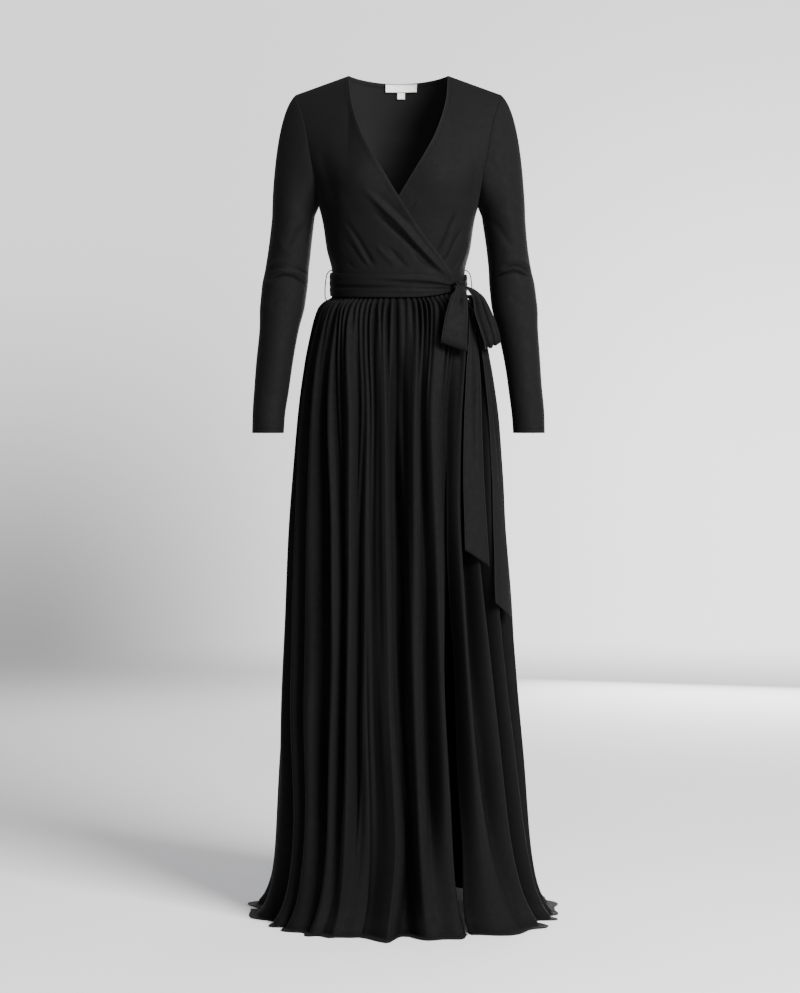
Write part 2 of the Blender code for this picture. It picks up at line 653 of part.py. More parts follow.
def sleeve(side, front, back):
    """Outer and inner rings of one sleeve, from the armhole to the cuff."""
    loop, loop_normals = armhole_loop(side, front, back)
    loop = loop.copy()
    loop[0, 1] = 0
    loop[ARMHOLE_ROWS, 1] = 0
    count = len(loop)
    angle = 2 * np.pi * np.arange(count) / count
    topness = (1 + np.cos(angle)) / 2

    def ring(height):
        centre, width = read(ARM, "centre", height), read(ARM, "half_width", height)
        depth, forward = read(ARM, "half_depth", height), read(ARM, "forward", height)
        x = side * (centre + width * np.cos(angle))
        y = forward - depth * np.sin(angle)
        return np.stack([x, y, np.full(count, float(height))], axis=-1)

    first = ring(ARM_HEIGHTS[0])
    pull_out = CAP_BOTTOM_PULL[0] + (CAP_TOP_PULL[0] - CAP_BOTTOM_PULL[0]) * topness
    pull_down = CAP_BOTTOM_PULL[1] + (CAP_TOP_PULL[1] - CAP_BOTTOM_PULL[1]) * topness
    start_pull = np.stack([side * pull_out, CAP_FORWARD_PULL * np.sin(angle), -pull_down], axis=-1)
    end_down = CAP_END_PULL_BOTTOM + (CAP_END_PULL_TOP - CAP_END_PULL_BOTTOM) * topness
    end_pull = np.stack([side * CAP_END_OUTWARD * topness, 0 * topness, -end_down], axis=-1)
    rings = [loop]
    for t in CAP_STEPS:
        a, b = 1 - 3 * t * t + 2 * t ** 3, 3 * t * t - 2 * t ** 3
        c, d = t * (1 - t) ** 2, t * t * (t - 1)
        rings.append(a * loop + b * first + c * start_pull + d * end_pull)
    rings += [ring(height) for height in ARM_HEIGHTS]
    points = np.array(rings)
    around = np.concatenate([points[:, -1:], points, points[:, :1]], axis=1)
    middle = points.mean(axis=1, keepdims=True)
    outward = around - middle
    normals = grid_normals(around, outward)[:, 1:-1]
    inset = np.zeros(points.shape[:2])
    for crease in ELBOW:
        turn = np.degrees(angle)
        reach = np.abs((turn - crease.angle + 180) % 360 - 180) / crease.reach
        near = np.exp(-((points[..., 2] - crease.height) / crease.width) ** 2)
        inset += crease.depth * near * np.clip(1 - reach ** 2, 0, 1)
    points = points - normals * inset[..., None]
    normals[-1, :, 2] = 0
    normals = unit(normals)

    away = unit(points[1] - points[0])
    convex = np.sum(away * loop_normals, axis=-1) < 0
    mitre = unit(normals[0] + loop_normals)
    lean = np.maximum(np.sum(mitre * normals[0], axis=-1), 0.5)
    join = np.where(convex[:, None], mitre / lean[:, None], 0)
    normals[0] = np.where(convex[:, None], join, normals[0])
    inner = points - normals * SLEEVE_WALL
    shift = np.array([side * SEAM_GAP, 0, 0])
    points[0] += shift
    inner[0] += shift
    return points, inner, join, convex


def join_armhole(points, normals, wall, column, rows, join, convex):
    """Inner points of a bodice panel; on the armhole they share the sleeve's mitred seam."""
    inner = points - normals * wall
    edge = points[rows, column] - join * wall
    inner[rows, column] = np.where(convex[:, None], edge, inner[rows, column])
    return inner


# ---------------------------------------------------------------- skirt

def waist_tilt(angle, height):
    """How far the waist dips in front and rises behind; it fades out down the skirt."""
    turn = np.cos(angle)
    tilt = np.where(turn > 0, -WAIST_TILT_FRONT, -WAIST_TILT_BACK) * turn
    return tilt * smooth(WAIST_SEAM - 1, BELT_BOTTOM, height) * smooth(WAIST_TILT_END, -410, height)


def fold_columns(folds):
    """Phase of the large folds and of the gathers at each column of a panel."""
    phase, gather = [folds[0].phase], [0.0]
    for here, after in zip(folds[:-1], folds[1:]):
        count = COLUMNS_PER_GATHER * here.gathers
        share = np.arange(1, count + 1) / count
        phase += (here.phase + (after.phase - here.phase) * share).tolist()
        gather += (here.gathers * share).tolist()
    return np.array(phase), np.array(gather)


def fold_angles(folds, phase, height):
    """Angle round the body of each column at one height."""
    table = np.array([fold[2:2 + len(FOLD_HEIGHTS)] for fold in folds])
    spots = np.array(FOLD_HEIGHTS)[::-1]
    at_height = np.array([np.interp(height, spots, row[::-1]) for row in table])
    return np.radians(np.interp(phase, [fold.phase for fold in folds], at_height))


def skirt_ring(folds, height):
    """Outer points and plan normals of a panel at one height."""
    phase, gather = fold_columns(folds)
    angle = fold_angles(folds, phase, height)
    x, y, nx, ny = oval(angle, read(SKIRT, "half_width", height),
                        read(SKIRT, "front", height), read(SKIRT, "back", height))
    x = x + read(SKIRT, "sway", height)
    depth = np.interp(phase, [fold.phase for fold in folds], [fold.depth for fold in folds])
    valley = ((1 - np.cos(2 * np.pi * phase)) / 2) ** VALLEY_SHARPNESS
    out = read(SKIRT, "fold", height) * depth * (1 - 2 * valley)
    out = out + read(SKIRT, "gather", height) * np.cos(2 * np.pi * gather)
    z = height + waist_tilt(angle, height)
    return np.stack([x + nx * out, y + ny * out, z], axis=-1), np.stack([nx, ny, 0 * nx], axis=-1)


def skirt_panel(name, folds):
    """One gathered skirt panel; its hem bends outwards and lies flat on the floor."""
    outer, inner = [], []
    wall = [GATHERED_WALL if height > GATHERS_END else WALL for height in SKIRT_HEIGHTS]
    for height, thick in zip(SKIRT_HEIGHTS, wall):
        points, normals = skirt_ring(folds, height)
        lower = np.array([0, 0, HEM_BEND * thick if height == SKIRT_HEIGHTS[-1] else 0])
        outer.append(points)
        inner.append(points - normals * thick - lower)
    points, normals = skirt_ring(folds, FLOOR + HEM_CLOTH)
    phase, _ = fold_columns(folds)
    kick = np.interp(phase, [fold.phase for fold in folds], [fold.kick for fold in folds])
    for share in (0, 1):
        outer.append(points + normals * (kick * share)[:, None])
        inner.append(outer[-1] - np.array([0, 0, HEM_CLOTH]))
    outer, inner = np.array(outer), np.array(inner)
    for column, fold, sense in ((0, folds[0], 1), (-1, folds[-1], -1)):
        if fold.name == "side_seam":
            step = HALF_GAP * sense * np.sign(np.sin(np.radians(fold.waist)))
            outer[:, column, 1] = step
            inner[:, column, 1] = step
    return add_wall(name, outer, inner, JERSEY)


# ---------------------------------------------------------------- belt, carriers and labels

def belt_oval(angle, out):
    """Points and plan normals of the belt's inner side, moved outwards."""
    half_width = read(TORSO, "half_width", SASH_HEIGHT) + SASH_CLEARANCE + out
    front = read(TORSO, "front", SASH_HEIGHT) + SASH_FRONT_CLEARANCE + out
    behind = read(TORSO, "back", SASH_HEIGHT) + SASH_CLEARANCE + out
    return oval(angle, half_width, front, behind)


def sash():
    """The belt's band round the waist, with soft lengthways folds."""
    angle = -np.pi + 2 * np.pi * np.arange(SASH_COLUMNS) / SASH_COLUMNS
    turn = np.degrees(angle)
    top, bottom = read(SASH, "top", turn, "angle"), read(SASH, "bottom", turn, "angle")
    x, y, nx, ny = belt_oval(angle, 0.0)
    outer, inner = [], []
    for share, ridge in SASH_RIDGES:
        z = top + (bottom - top) * share + waist_tilt(angle, BELT_BOTTOM)
        base = np.stack([x, y, z], axis=-1)
        normal = np.stack([nx, ny, 0 * nx], axis=-1)
        inner.append(base)
        outer.append(base + normal * (SASH_WALL + ridge))
    return add_wall("sash_band", np.array(outer), np.array(inner), BELT_JERSEY, closed=True)


def knot():
    """The tied knot: a rounded block that stands on the sash."""
    angle = np.radians(KNOT_ANGLE)
    x, y, nx, ny = belt_oval(angle, SASH_WALL)
    out = np.array([nx, ny, 0.0])
    along = np.array([-ny, nx, 0.0])
    up = np.array([0.0, 0.0, 1.0])
    centre = np.array([x, y, KNOT_HEIGHT]) + out * (KNOT_HALF[1] + KNOT_GAP)
    lat = np.pi * (np.arange(1, KNOT_RINGS) / KNOT_RINGS - 0.5)
    lon = 2 * np.pi * np.arange(KNOT_SIDES) / KNOT_SIDES
    lat, lon = np.meshgrid(lat, lon, indexing="ij")
    wide = power(np.cos(lat), 0.7) * power(np.cos(lon), 0.8) * KNOT_HALF[0]
    deep = power(np.cos(lat), 0.7) * power(np.sin(lon), 0.8) * KNOT_HALF[1]
    high = power(np.sin(lat), 0.8) * KNOT_HALF[2]
    rings = centre + wide[..., None] * along + deep[..., None] * out + high[..., None] * up
    poles = [centre - up * KNOT_HALF[2], centre + up * KNOT_HALF[2]]
    points = np.concatenate([rings.reshape(-1, 3), poles])
    count = KNOT_RINGS - 1
    faces = []
    for side in range(KNOT_SIDES):
        after = (side + 1) % KNOT_SIDES
        for ring in range(count - 1):
            here, there = ring * KNOT_SIDES, (ring + 1) * KNOT_SIDES
            faces.append((here + side, here + after, there + after, there + side))
        faces.append((count * KNOT_SIDES, after, side))
        last = (count - 1) * KNOT_SIDES
        faces.append((count * KNOT_SIDES + 1, last + side, last + after))
    return add_solid("sash_knot", points, faces, BELT_JERSEY)


def curve_through(values, steps):
    """A smooth curve through a table's rows, at evenly spaced steps."""
    values = np.asarray(values, dtype=float)
    spots = np.linspace(0, len(values) - 1, steps)
    i = np.minimum(spots.astype(int), len(values) - 2)
    t = (spots - i)[:, None]
    padded = np.concatenate([2 * values[:1] - values[1:2], values, 2 * values[-1:] - values[-2:-1]])
    p0, p1, p2, p3 = padded[i], padded[i + 1], padded[i + 2], padded[i + 3]
    return 0.5 * (2 * p1 + (p2 - p0) * t + (2 * p0 - 5 * p1 + 4 * p2 - p3) * t ** 2
                  + (3 * p1 - p0 - 3 * p2 + p3) * t ** 3)


def hanging_strip(name, table, steps):
    """A band of the belt along a path in space, bowed a little across its width."""
    height, across, forward, width, face, tilt = curve_through(table, steps).T
    face = np.radians(face)
    centre = np.stack([across, -forward, height], axis=-1)
    lateral = np.stack([np.cos(face), np.sin(face), 0 * face], axis=-1)
    normal = unit(np.cross(lateral, unit(np.gradient(centre, axis=0))))
    outward = np.array([np.sin(face[0]), -np.cos(face[0]), 0.0])
    normal = normal * np.sign(np.dot(normal[0], outward))
    share = np.linspace(-1, 1, STRIP_COLUMNS + 1)
    camber = STRIP_CAMBER * np.minimum(width / WIDE_STRIP, 1)
    sideways = share[None, :, None] * (width / 2)[:, None, None] * lateral[:, None]
    bowed = (camber[:, None] * (1 - share[None] ** 2))[..., None] * normal[:, None]
    outer = centre[:, None] + sideways + bowed
    outer[..., 2] -= tilt[:, None] * share[None] / 2
    inner = outer - normal[:, None] * BELT_WALL
    return add_wall(name, outer, inner, BELT_JERSEY)


def carrier(name, side):
    """A thread loop at the side seam that holds the belt."""
    curve = bpy.data.curves.new(name, "CURVE")
    curve.dimensions = "3D"
    curve.bevel_depth = CARRIER_RADIUS * MM
    curve.bevel_resolution = 1
    curve.use_fill_caps = True
    path = curve_through(CARRIER_PATH, 13)
    line = curve.splines.new("POLY")
    line.points.add(len(path) - 1)
    for point, (out, height) in zip(line.points, path):
        point.co = (side * out * MM, 0.0, height * MM, 1.0)
    curve.materials.append(cloth_material(THREAD))
    piece = bpy.data.objects.new(name, curve)
    bpy.context.collection.objects.link(piece)
    return piece


def back_surface(x, z):
    """Outer points and normals of the smooth back at given places in the back view."""
    def depth(px, pz):
        return body_depth(body_angle(px, pz), px, pz, "back")
    y = depth(x, z)
    step = 0.5
    slope_x = (depth(x + step, z) - depth(x - step, z)) / (2 * step)
    slope_z = (depth(x, z + step) - depth(x, z - step)) / (2 * step)
    normal = unit(np.stack([-slope_x, np.ones_like(x), -slope_z], axis=-1))
    return np.stack([x, y, z], axis=-1), normal


def label(name, width, height, top):
    """A woven label that lies on the inside of the back, below the neck edge."""
    across = LABEL_ACROSS + np.linspace(-width / 2, width / 2, 9)
    down = np.linspace(top, top - height, 4)
    z, x = np.meshgrid(down, across, indexing="ij")
    points, normals = back_surface(x, z)
    near = points - normals * (WALL + LABEL_GAP)
    far = near - normals * LABEL_WALL
    return add_wall(name, near, far, WHITE_TAPE)


# ---------------------------------------------------------------- the dress

for leftover in list(bpy.data.objects):
    bpy.data.objects.remove(leftover, do_unlink=True)

right_front = front_panel(-1, RIGHT_FRONT_CREASES)
left_front = front_panel(1, LEFT_FRONT_CREASES)
back = back_panel()

back_inner = back[0] - back[1] * WALL
for side_name, side_sign, front in (("right", -1, right_front), ("left", 1, left_front)):
    outer_rings, inner_rings, seam, roofed = sleeve(side_sign, front, back)
    add_wall("sleeve_" + side_name, outer_rings, inner_rings, JERSEY, closed=True)
    front_seam, front_roofed = seam[ARMHOLE_ROWS::-1], roofed[ARMHOLE_ROWS::-1]
    thickness = OVERLAP_WALL if side_sign < 0 else WALL
    up_armhole = slice(BODY_ROWS, None)
    front_inner = join_armhole(front[0], front[1], thickness, -1, up_armhole, front_seam, front_roofed)
    add_wall("bodice_front_" + side_name, front[0], front_inner, JERSEY)
    edge = 0 if side_sign < 0 else -1
    rows_up = slice(BODY_ROWS + 1, -1)
    back_seam, back_roofed = seam[ARMHOLE_ROWS + 1:], roofed[ARMHOLE_ROWS + 1:]
    spot = back[0][rows_up, edge] - back_seam * WALL
    back_inner[rows_up, edge] = np.where(back_roofed[:, None], spot, back_inner[rows_up, edge])
    tip = back[0][-1, edge] - seam[0] * WALL
    if roofed[0]:
        back_inner[-1, edge] = tip
add_wall("bodice_back", back[0], back_inner, JERSEY)

skirt_panel("skirt_front_right", FRONT_RIGHT_FOLDS)
skirt_panel("skirt_front_left", FRONT_LEFT_FOLDS)
skirt_panel("skirt_back", BACK_FOLDS)

sash()
knot()
hanging_strip("sash_loop_front", LOOP_FRONT, LOOP_STEPS)
hanging_strip("sash_loop_back", LOOP_BACK, LOOP_STEPS)
hanging_strip("sash_tail_front", TAIL_FRONT, TAIL_STEPS)
hanging_strip("sash_tail_back", TAIL_BACK, TAIL_STEPS)
carrier("belt_carrier_right", -1)
carrier("belt_carrier_left", 1)
label_top = -BACK_NECK_DROP - LABEL_DROP
label("neck_label", LABEL_WIDTH, LABEL_HEIGHT, label_top)
size_label_top = label_top - LABEL_HEIGHT - SIZE_LABEL_OFFSET
label("size_label", SIZE_LABEL_WIDTH, SIZE_LABEL_HEIGHT, size_label_top)
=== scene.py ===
# %% [markdown]
# # A long black wrap dress
# The dress is soft jersey, worn by nobody: it keeps the shape of a general figure and stands
# hollow on a pale floor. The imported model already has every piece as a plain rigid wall. Here
# each wall is dressed with a thin sheet of cloth that has the gathers, creases, hems and
# stitches of a real one. A sheet is worked out as a surface with two parameters, one round
# the body and one down it, because hanging cloth is smooth almost everywhere.

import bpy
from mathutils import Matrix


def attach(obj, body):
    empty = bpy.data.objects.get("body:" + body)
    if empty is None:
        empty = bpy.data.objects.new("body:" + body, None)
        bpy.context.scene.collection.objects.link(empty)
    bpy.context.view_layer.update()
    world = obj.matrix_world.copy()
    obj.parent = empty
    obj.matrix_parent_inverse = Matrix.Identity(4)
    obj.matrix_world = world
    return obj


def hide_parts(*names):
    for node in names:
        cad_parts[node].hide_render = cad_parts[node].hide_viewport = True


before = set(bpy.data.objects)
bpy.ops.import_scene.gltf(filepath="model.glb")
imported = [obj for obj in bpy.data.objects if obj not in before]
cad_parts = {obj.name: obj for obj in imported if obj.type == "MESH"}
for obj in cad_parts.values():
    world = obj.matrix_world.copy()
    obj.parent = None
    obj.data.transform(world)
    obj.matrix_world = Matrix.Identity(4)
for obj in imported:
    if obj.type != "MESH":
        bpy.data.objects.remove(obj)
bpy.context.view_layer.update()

import bpy
import numpy as np

MM = 0.001

# %% [markdown]
# ## Curves through short tables
# A garment is drafted from a few measured rows: so wide at the waist, so wide at the hem. All
# the shapes here start from such tables. A curve that runs through the rows and never swings
# past them keeps the outline calm between two measurements, so a cubic with limited slopes is
# used and not a free spline.

# %% Tables and the curves through them
def table(columns, *rows):
    """One array for each named column, with the rows put in rising order of the first one."""
    return dict(zip(columns.split(), np.array(sorted(rows), dtype=float).T))


def through(knots, values, spots):
    """Cubic through the knots; its slope at a knot is the harmonic mean of the rises beside it."""
    knots, values = np.asarray(knots, dtype=float), np.asarray(values, dtype=float)
    steps = np.diff(knots)
    rises = np.diff(values, axis=-1) / steps
    product, total = rises[..., :-1] * rises[..., 1:], rises[..., :-1] + rises[..., 1:]
    inside = np.where(product > 0, 2 * product / np.where(product > 0, total, 1), 0)
    slopes = np.concatenate([rises[..., :1], inside, rises[..., -1:]], axis=-1)
    spots = np.clip(spots, knots[0], knots[-1])
    i = np.clip(np.searchsorted(knots, spots, side="right") - 1, 0, len(steps) - 1)
    t = (spots - knots[i]) / steps[i]
    rise = values[..., i] * (1 + 2 * t) * (1 - t) ** 2 + values[..., i + 1] * t * t * (3 - 2 * t)
    bend = slopes[..., i] * t * (1 - t) ** 2 + slopes[..., i + 1] * t * t * (t - 1)
    return rise + bend * steps[i]


def at(rows, column, spots):
    """Value of one column where the table's first column has the given values."""
    first = next(iter(rows.values()))
    return through(first, rows[column], spots)


# %% Small helpers for whole arrays
def smooth(low, high, value):
    """0 below low, 1 above high and an S-shaped curve, 3t^2 - 2t^3, between them."""
    t = np.clip((value - low) / (high - low), 0, 1)
    return t * t * (3 - 2 * t)


def unit(vectors):
    """The same vectors with a length of one."""
    return vectors / np.maximum(np.linalg.norm(vectors, axis=-1, keepdims=True), 1e-9)


def power(value, exponent):
    """A power that keeps the sign of what it is given."""
    return np.sign(value) * np.abs(value) ** exponent


def xyz(x, y, z):
    """Three coordinates of any shapes that fit together, as one array of points."""
    return np.stack(np.broadcast_arrays(x, y, z), axis=-1)


def walk(points, axis=0):
    """Distance walked along one direction of a grid of points, from nothing at its start."""
    walked = np.cumsum(np.linalg.norm(np.diff(points, axis=axis), axis=-1), axis=axis)
    return np.insert(walked, 0, 0.0, axis=axis)


def joined(grid):
    """A tube's grid with its first column once more after the last."""
    return np.concatenate([grid, grid[:, :1]], axis=1)


def grid_normals(points, outward):
    """Cross product of the two directions of the grid, on the side of the outward hints."""
    normals = unit(np.cross(np.gradient(points, axis=1), np.gradient(points, axis=0)))
    side = np.sum(normals * outward, axis=-1, keepdims=True)
    return np.where(side < 0, -normals, normals)


# %% [markdown]
# ## From a grid of points to a sheet of cloth
# The real pieces are cut flat and sewn. A grid of points stands for the outer face of one cut
# piece: its rows and columns become quads, the length along them becomes the UV map that the
# knit follows, and the distance from a hemmed edge is kept as an attribute for the stitches.
# A second attribute says how deep a point lies in a fold, where less light gets in; the finishes darken the
# cloth's colour there as painted shade.
# Solidify then gives the thickness inwards, so the outer face stays where it was drafted.

# %% Make a cloth piece from a grid
CLOTH_THICKNESS, FAR_FROM_HEM = 0.9, 100.0
made_faces = {}


def lengths_along(points):
    """UV of each grid point in metres: length along its row, and the mean length down to it."""
    u, v = walk(points, 1), -walk(points).mean(axis=1, keepdims=True)
    middle = u[:, u.shape[1] // 2][:, None]
    return np.stack(np.broadcast_arrays(u - middle, v), axis=-1) * MM


def cloth(name, points, outward, replaces, finish, thickness=CLOTH_THICKNESS, closed=False, caps=False,
          edge=FAR_FROM_HEM, lining=None, fold_shade=0.0):
    """Quads between neighbours of the grid; closed joins the last column to the first."""
    rows, columns = points.shape[:2]
    ids = np.arange(rows * columns).reshape(rows, columns)
    if closed:
        ids = joined(ids)
    uv = lengths_along(joined(points) if closed else points)
    corners = [(slice(None, -1), slice(None, -1)), (slice(1, None), slice(None, -1)),
               (slice(1, None), slice(1, None)), (slice(None, -1), slice(1, None))]
    quads = np.stack([ids[c] for c in corners], axis=-1).reshape(-1, 4)
    quad_uv = np.stack([uv[c] for c in corners], axis=-2).reshape(-1, 4, 2)
    flat = points.reshape(-1, 3)
    facing = np.cross(flat[quads[:, 2]] - flat[quads[:, 0]], flat[quads[:, 3]] - flat[quads[:, 1]])
    hints = np.broadcast_to(outward, points.shape).reshape(-1, 3)[quads[:, 0]]
    flipped = np.sum(facing * hints) < 0
    if flipped:
        quads, quad_uv = quads[:, ::-1], quad_uv[:, ::-1]
    faces = quads.tolist()
    if caps:
        ring = ids[:, :-1] if closed else ids
        faces += [(end[::-1] if flipped else end).tolist() for end in (ring[0], ring[-1][::-1])]
    mesh = bpy.data.meshes.new(name)
    mesh.from_pydata((flat * MM).tolist(), [], faces)
    layer = mesh.uv_layers.new(name="cloth")
    spread = np.zeros((len(mesh.loops), 2))
    spread[:quad_uv.size // 2] = quad_uv.reshape(-1, 2)
    layer.data.foreach_set("uv", spread.ravel())
    # the second attribute is the share of painted shade that the colour gets deep in a fold
    for title, values in (("hem_distance", edge), ("fold_shade", np.clip(fold_shade, 0, 1))):
        values = np.broadcast_to(values, (rows, columns)).ravel()
        mesh.attributes.new(title, "FLOAT", "POINT").data.foreach_set("value", values)
    mesh.shade_smooth()
    mesh.materials.append(finish)
    piece = bpy.data.objects.new(name, mesh)
    bpy.context.collection.objects.link(piece)
    if thickness:
        wall = piece.modifiers.new("wall", "SOLIDIFY")
        wall.thickness, wall.offset, wall.use_rim = thickness * MM, -1, True
        if lining:
            mesh.materials.append(lining)
            wall.material_offset = 1
    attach(piece, "root")
    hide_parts(*replaces)
    made_faces[name] = len(faces)
    return piece


def cloth_area(points):
    """Area of a grid's surface in square metres: half the cross product of each quad's diagonals."""
    diagonals = np.cross(points[1:, 1:] - points[:-1, :-1], points[1:, :-1] - points[:-1, 1:])
    return float(np.linalg.norm(diagonals, axis=-1).sum() / 2 * MM * MM)


def tell_area(piece, grid):
    """Print the area of a piece's grid."""
    print(piece.name, "has", round(cloth_area(grid), 4), "square metres")


# %% [markdown]
# ## The look of jersey
# Jersey is a fine knit: small V-shaped stitches stand in columns, less than a millimetre
# apart. It is dull, and its fibres catch a soft light where the surface turns away. The knit
# could be modelled, but it is far too fine for that, so a node group works out a height and a
# tone from the UV map; the tone is painted shade between the stitches. A second group gives
# what all cloths here share: slow changes of tone and a little lint. A third one gives a turned
# and stitched hem from the hem distance, with a painted light along its edge.

# %% Node helpers
def new_group(name, inputs, outputs):
    """A shader group with float inputs (name, default) and float outputs."""
    group = bpy.data.node_groups.new(name, "ShaderNodeTree")
    for title, value in inputs:
        socket = group.interface.new_socket(title, in_out="INPUT", socket_type="NodeSocketFloat")
        socket.default_value = value
    for title in outputs:
        group.interface.new_socket(title, in_out="OUTPUT", socket_type="NodeSocketFloat")
    return group, group.nodes.new("NodeGroupInput"), group.nodes.new("NodeGroupOutput")


def math(tree, operation, *values):
    """One Math node; each value is a number or another node's output."""
    node = tree.nodes.new("ShaderNodeMath")
    node.operation = operation
    for socket, value in zip(node.inputs, values):
        if isinstance(value, (int, float)):
            socket.default_value = value
        else:
            tree.links.new(value, socket)
    return node.outputs[0]


def ramp(tree, value, low, high, to_low=0.0, to_high=1.0):
    """A smooth Map Range: low becomes to_low and high becomes to_high."""
    node = tree.nodes.new("ShaderNodeMapRange")
    node.interpolation_type = "SMOOTHSTEP"
    tree.links.new(value, node.inputs["Value"])
    for name, number in (("From Min", low), ("From Max", high), ("To Min", to_low), ("To Max", to_high)):
        node.inputs[name].default_value = number
    return node.outputs["Result"]


def attribute(tree, name):
    """A number kept on the mesh."""
    node = tree.nodes.new("ShaderNodeAttribute")
    node.attribute_name = name
    return node.outputs["Fac"]


def noise(tree, coordinates, scale, detail):
    """One Noise texture's value."""
    node = tree.nodes.new("ShaderNodeTexNoise")
    node.inputs["Scale"].default_value = scale
    node.inputs["Detail"].default_value = detail
    tree.links.new(coordinates, node.inputs["Vector"])
    return node.outputs["Fac"]


def cloth_uv(tree):
    """The cloth's own UV map as two numbers in metres: across and down the piece."""
    uv_map = tree.nodes.new("ShaderNodeUVMap")
    uv_map.uv_map = "cloth"
    split = tree.nodes.new("ShaderNodeSeparateXYZ")
    tree.links.new(uv_map.outputs["UV"], split.inputs[0])
    return split.outputs["X"], split.outputs["Y"]


# %% Node group: knitted stitches
# A column's place p = u / width and a row's place q = v / height. The distance from the middle
# of the column, a, goes from 0 to 1. The stitch's arms rise with a, which makes a row of Vs.
knit, knit_in, knit_out = new_group(
    "jersey knit", [("Column", 0.0009), ("Row", 0.0007)], ["Height", "Tone"])
u, v = cloth_uv(knit)
p = math(knit, "DIVIDE", u, knit_in.outputs["Column"])
q = math(knit, "DIVIDE", v, knit_in.outputs["Row"])
a = math(knit, "ABSOLUTE", math(knit, "SUBTRACT", math(knit, "FRACT", p), 0.5))
a = math(knit, "MULTIPLY", a, 2.0)
lean = math(knit, "ADD", q, math(knit, "MULTIPLY", a, 0.5))
arms = math(knit, "SINE", math(knit, "MULTIPLY", lean, 6.2832))
column = math(knit, "SUBTRACT", 1.0, math(knit, "MULTIPLY", a, a))
height = math(knit, "ADD", math(knit, "MULTIPLY", column, 0.7), math(knit, "MULTIPLY", arms, 0.15))
knit.links.new(height, knit_out.inputs["Height"])
# the tone is painted shade: darker where the knit lies low between stitches, lighter on their tops
knit.links.new(ramp(knit, height, 0.0, 0.85, 0.82, 1.08), knit_out.inputs["Tone"])
print("knit group nodes:", len(knit.nodes))

# %% Node group: slow changes of tone, and lint
# Two noises on object coordinates: a broad one for handling marks and a medium one for the
# pile, plus sparse fine dots for lint. The tone is near 1 and the lint is 0 or a little more.
wear, wear_in, wear_out = new_group("cloth wear", [("Unevenness", 0.12)], ["Tone", "Lint", "Bumps"])
place = wear.nodes.new("ShaderNodeTexCoord").outputs["Object"]
broad, medium = noise(wear, place, 9.0, 2.0), noise(wear, place, 110.0, 3.0)
mixed = math(wear, "ADD", math(wear, "MULTIPLY", broad, 0.7), math(wear, "MULTIPLY", medium, 0.3))
most = math(wear, "MULTIPLY", wear_in.outputs["Unevenness"], 4.0)
swing = math(wear, "MULTIPLY", math(wear, "SUBTRACT", mixed, 0.5), most)
wear.links.new(math(wear, "ADD", swing, 1.0), wear_out.inputs["Tone"])
specks = wear.nodes.new("ShaderNodeTexVoronoi")
specks.inputs["Scale"].default_value = 55.0
wear.links.new(place, specks.inputs["Vector"])
spot = ramp(wear, specks.outputs["Distance"], 0.02, 0.035, 1.0, 0.0)
rare = ramp(wear, noise(wear, place, 31.0, 1.0), 0.62, 0.66)
wear.links.new(math(wear, "MULTIPLY", spot, rare), wear_out.inputs["Lint"])
wear.links.new(medium, wear_out.inputs["Bumps"])
print("wear group nodes:", len(wear.nodes))

# %% Node group: a turned and stitched hem
# The hem is one cloth thickness higher between the edge and its depth. The stitches are a
# groove on the hem line, broken up along the cloth into dashes of stitch length. Along the
# edge's fold a lighter line is painted into the colour, a painted highlight of the turned edge.
hem, hem_in, hem_out = new_group(
    "turned hem", [("Depth", 9.0), ("Stitch", 0.0028)], ["Height", "Stitches", "Painted Edge Light"])
distance = attribute(hem, "hem_distance")
past = math(hem, "SUBTRACT", distance, hem_in.outputs["Depth"])
raised = ramp(hem, past, -0.5, 0.9, 1.0, 0.0)
line = ramp(hem, math(hem, "ABSOLUTE", math(hem, "ADD", past, 1.2)), 0.35, 0.9, 1.0, 0.0)
stitch = math(hem, "FRACT", math(hem, "DIVIDE", math(hem, "ADD", *cloth_uv(hem)), hem_in.outputs["Stitch"]))
dash = math(hem, "ABSOLUTE", math(hem, "SUBTRACT", stitch, 0.5))
dashes = ramp(hem, dash, 0.30, 0.42, 1.0, 0.35)
stitches = math(hem, "MULTIPLY", line, dashes)
hem.links.new(math(hem, "SUBTRACT", raised, math(hem, "MULTIPLY", line, 0.9)), hem_out.inputs["Height"])
hem.links.new(stitches, hem_out.inputs["Stitches"])
# painted light: a mask that is 1 on the hem's very edge
hem.links.new(ramp(hem, distance, 0.5, 2.0, 1.0, 0.0), hem_out.inputs["Painted Edge Light"])
print("hem group nodes:", len(hem.nodes))
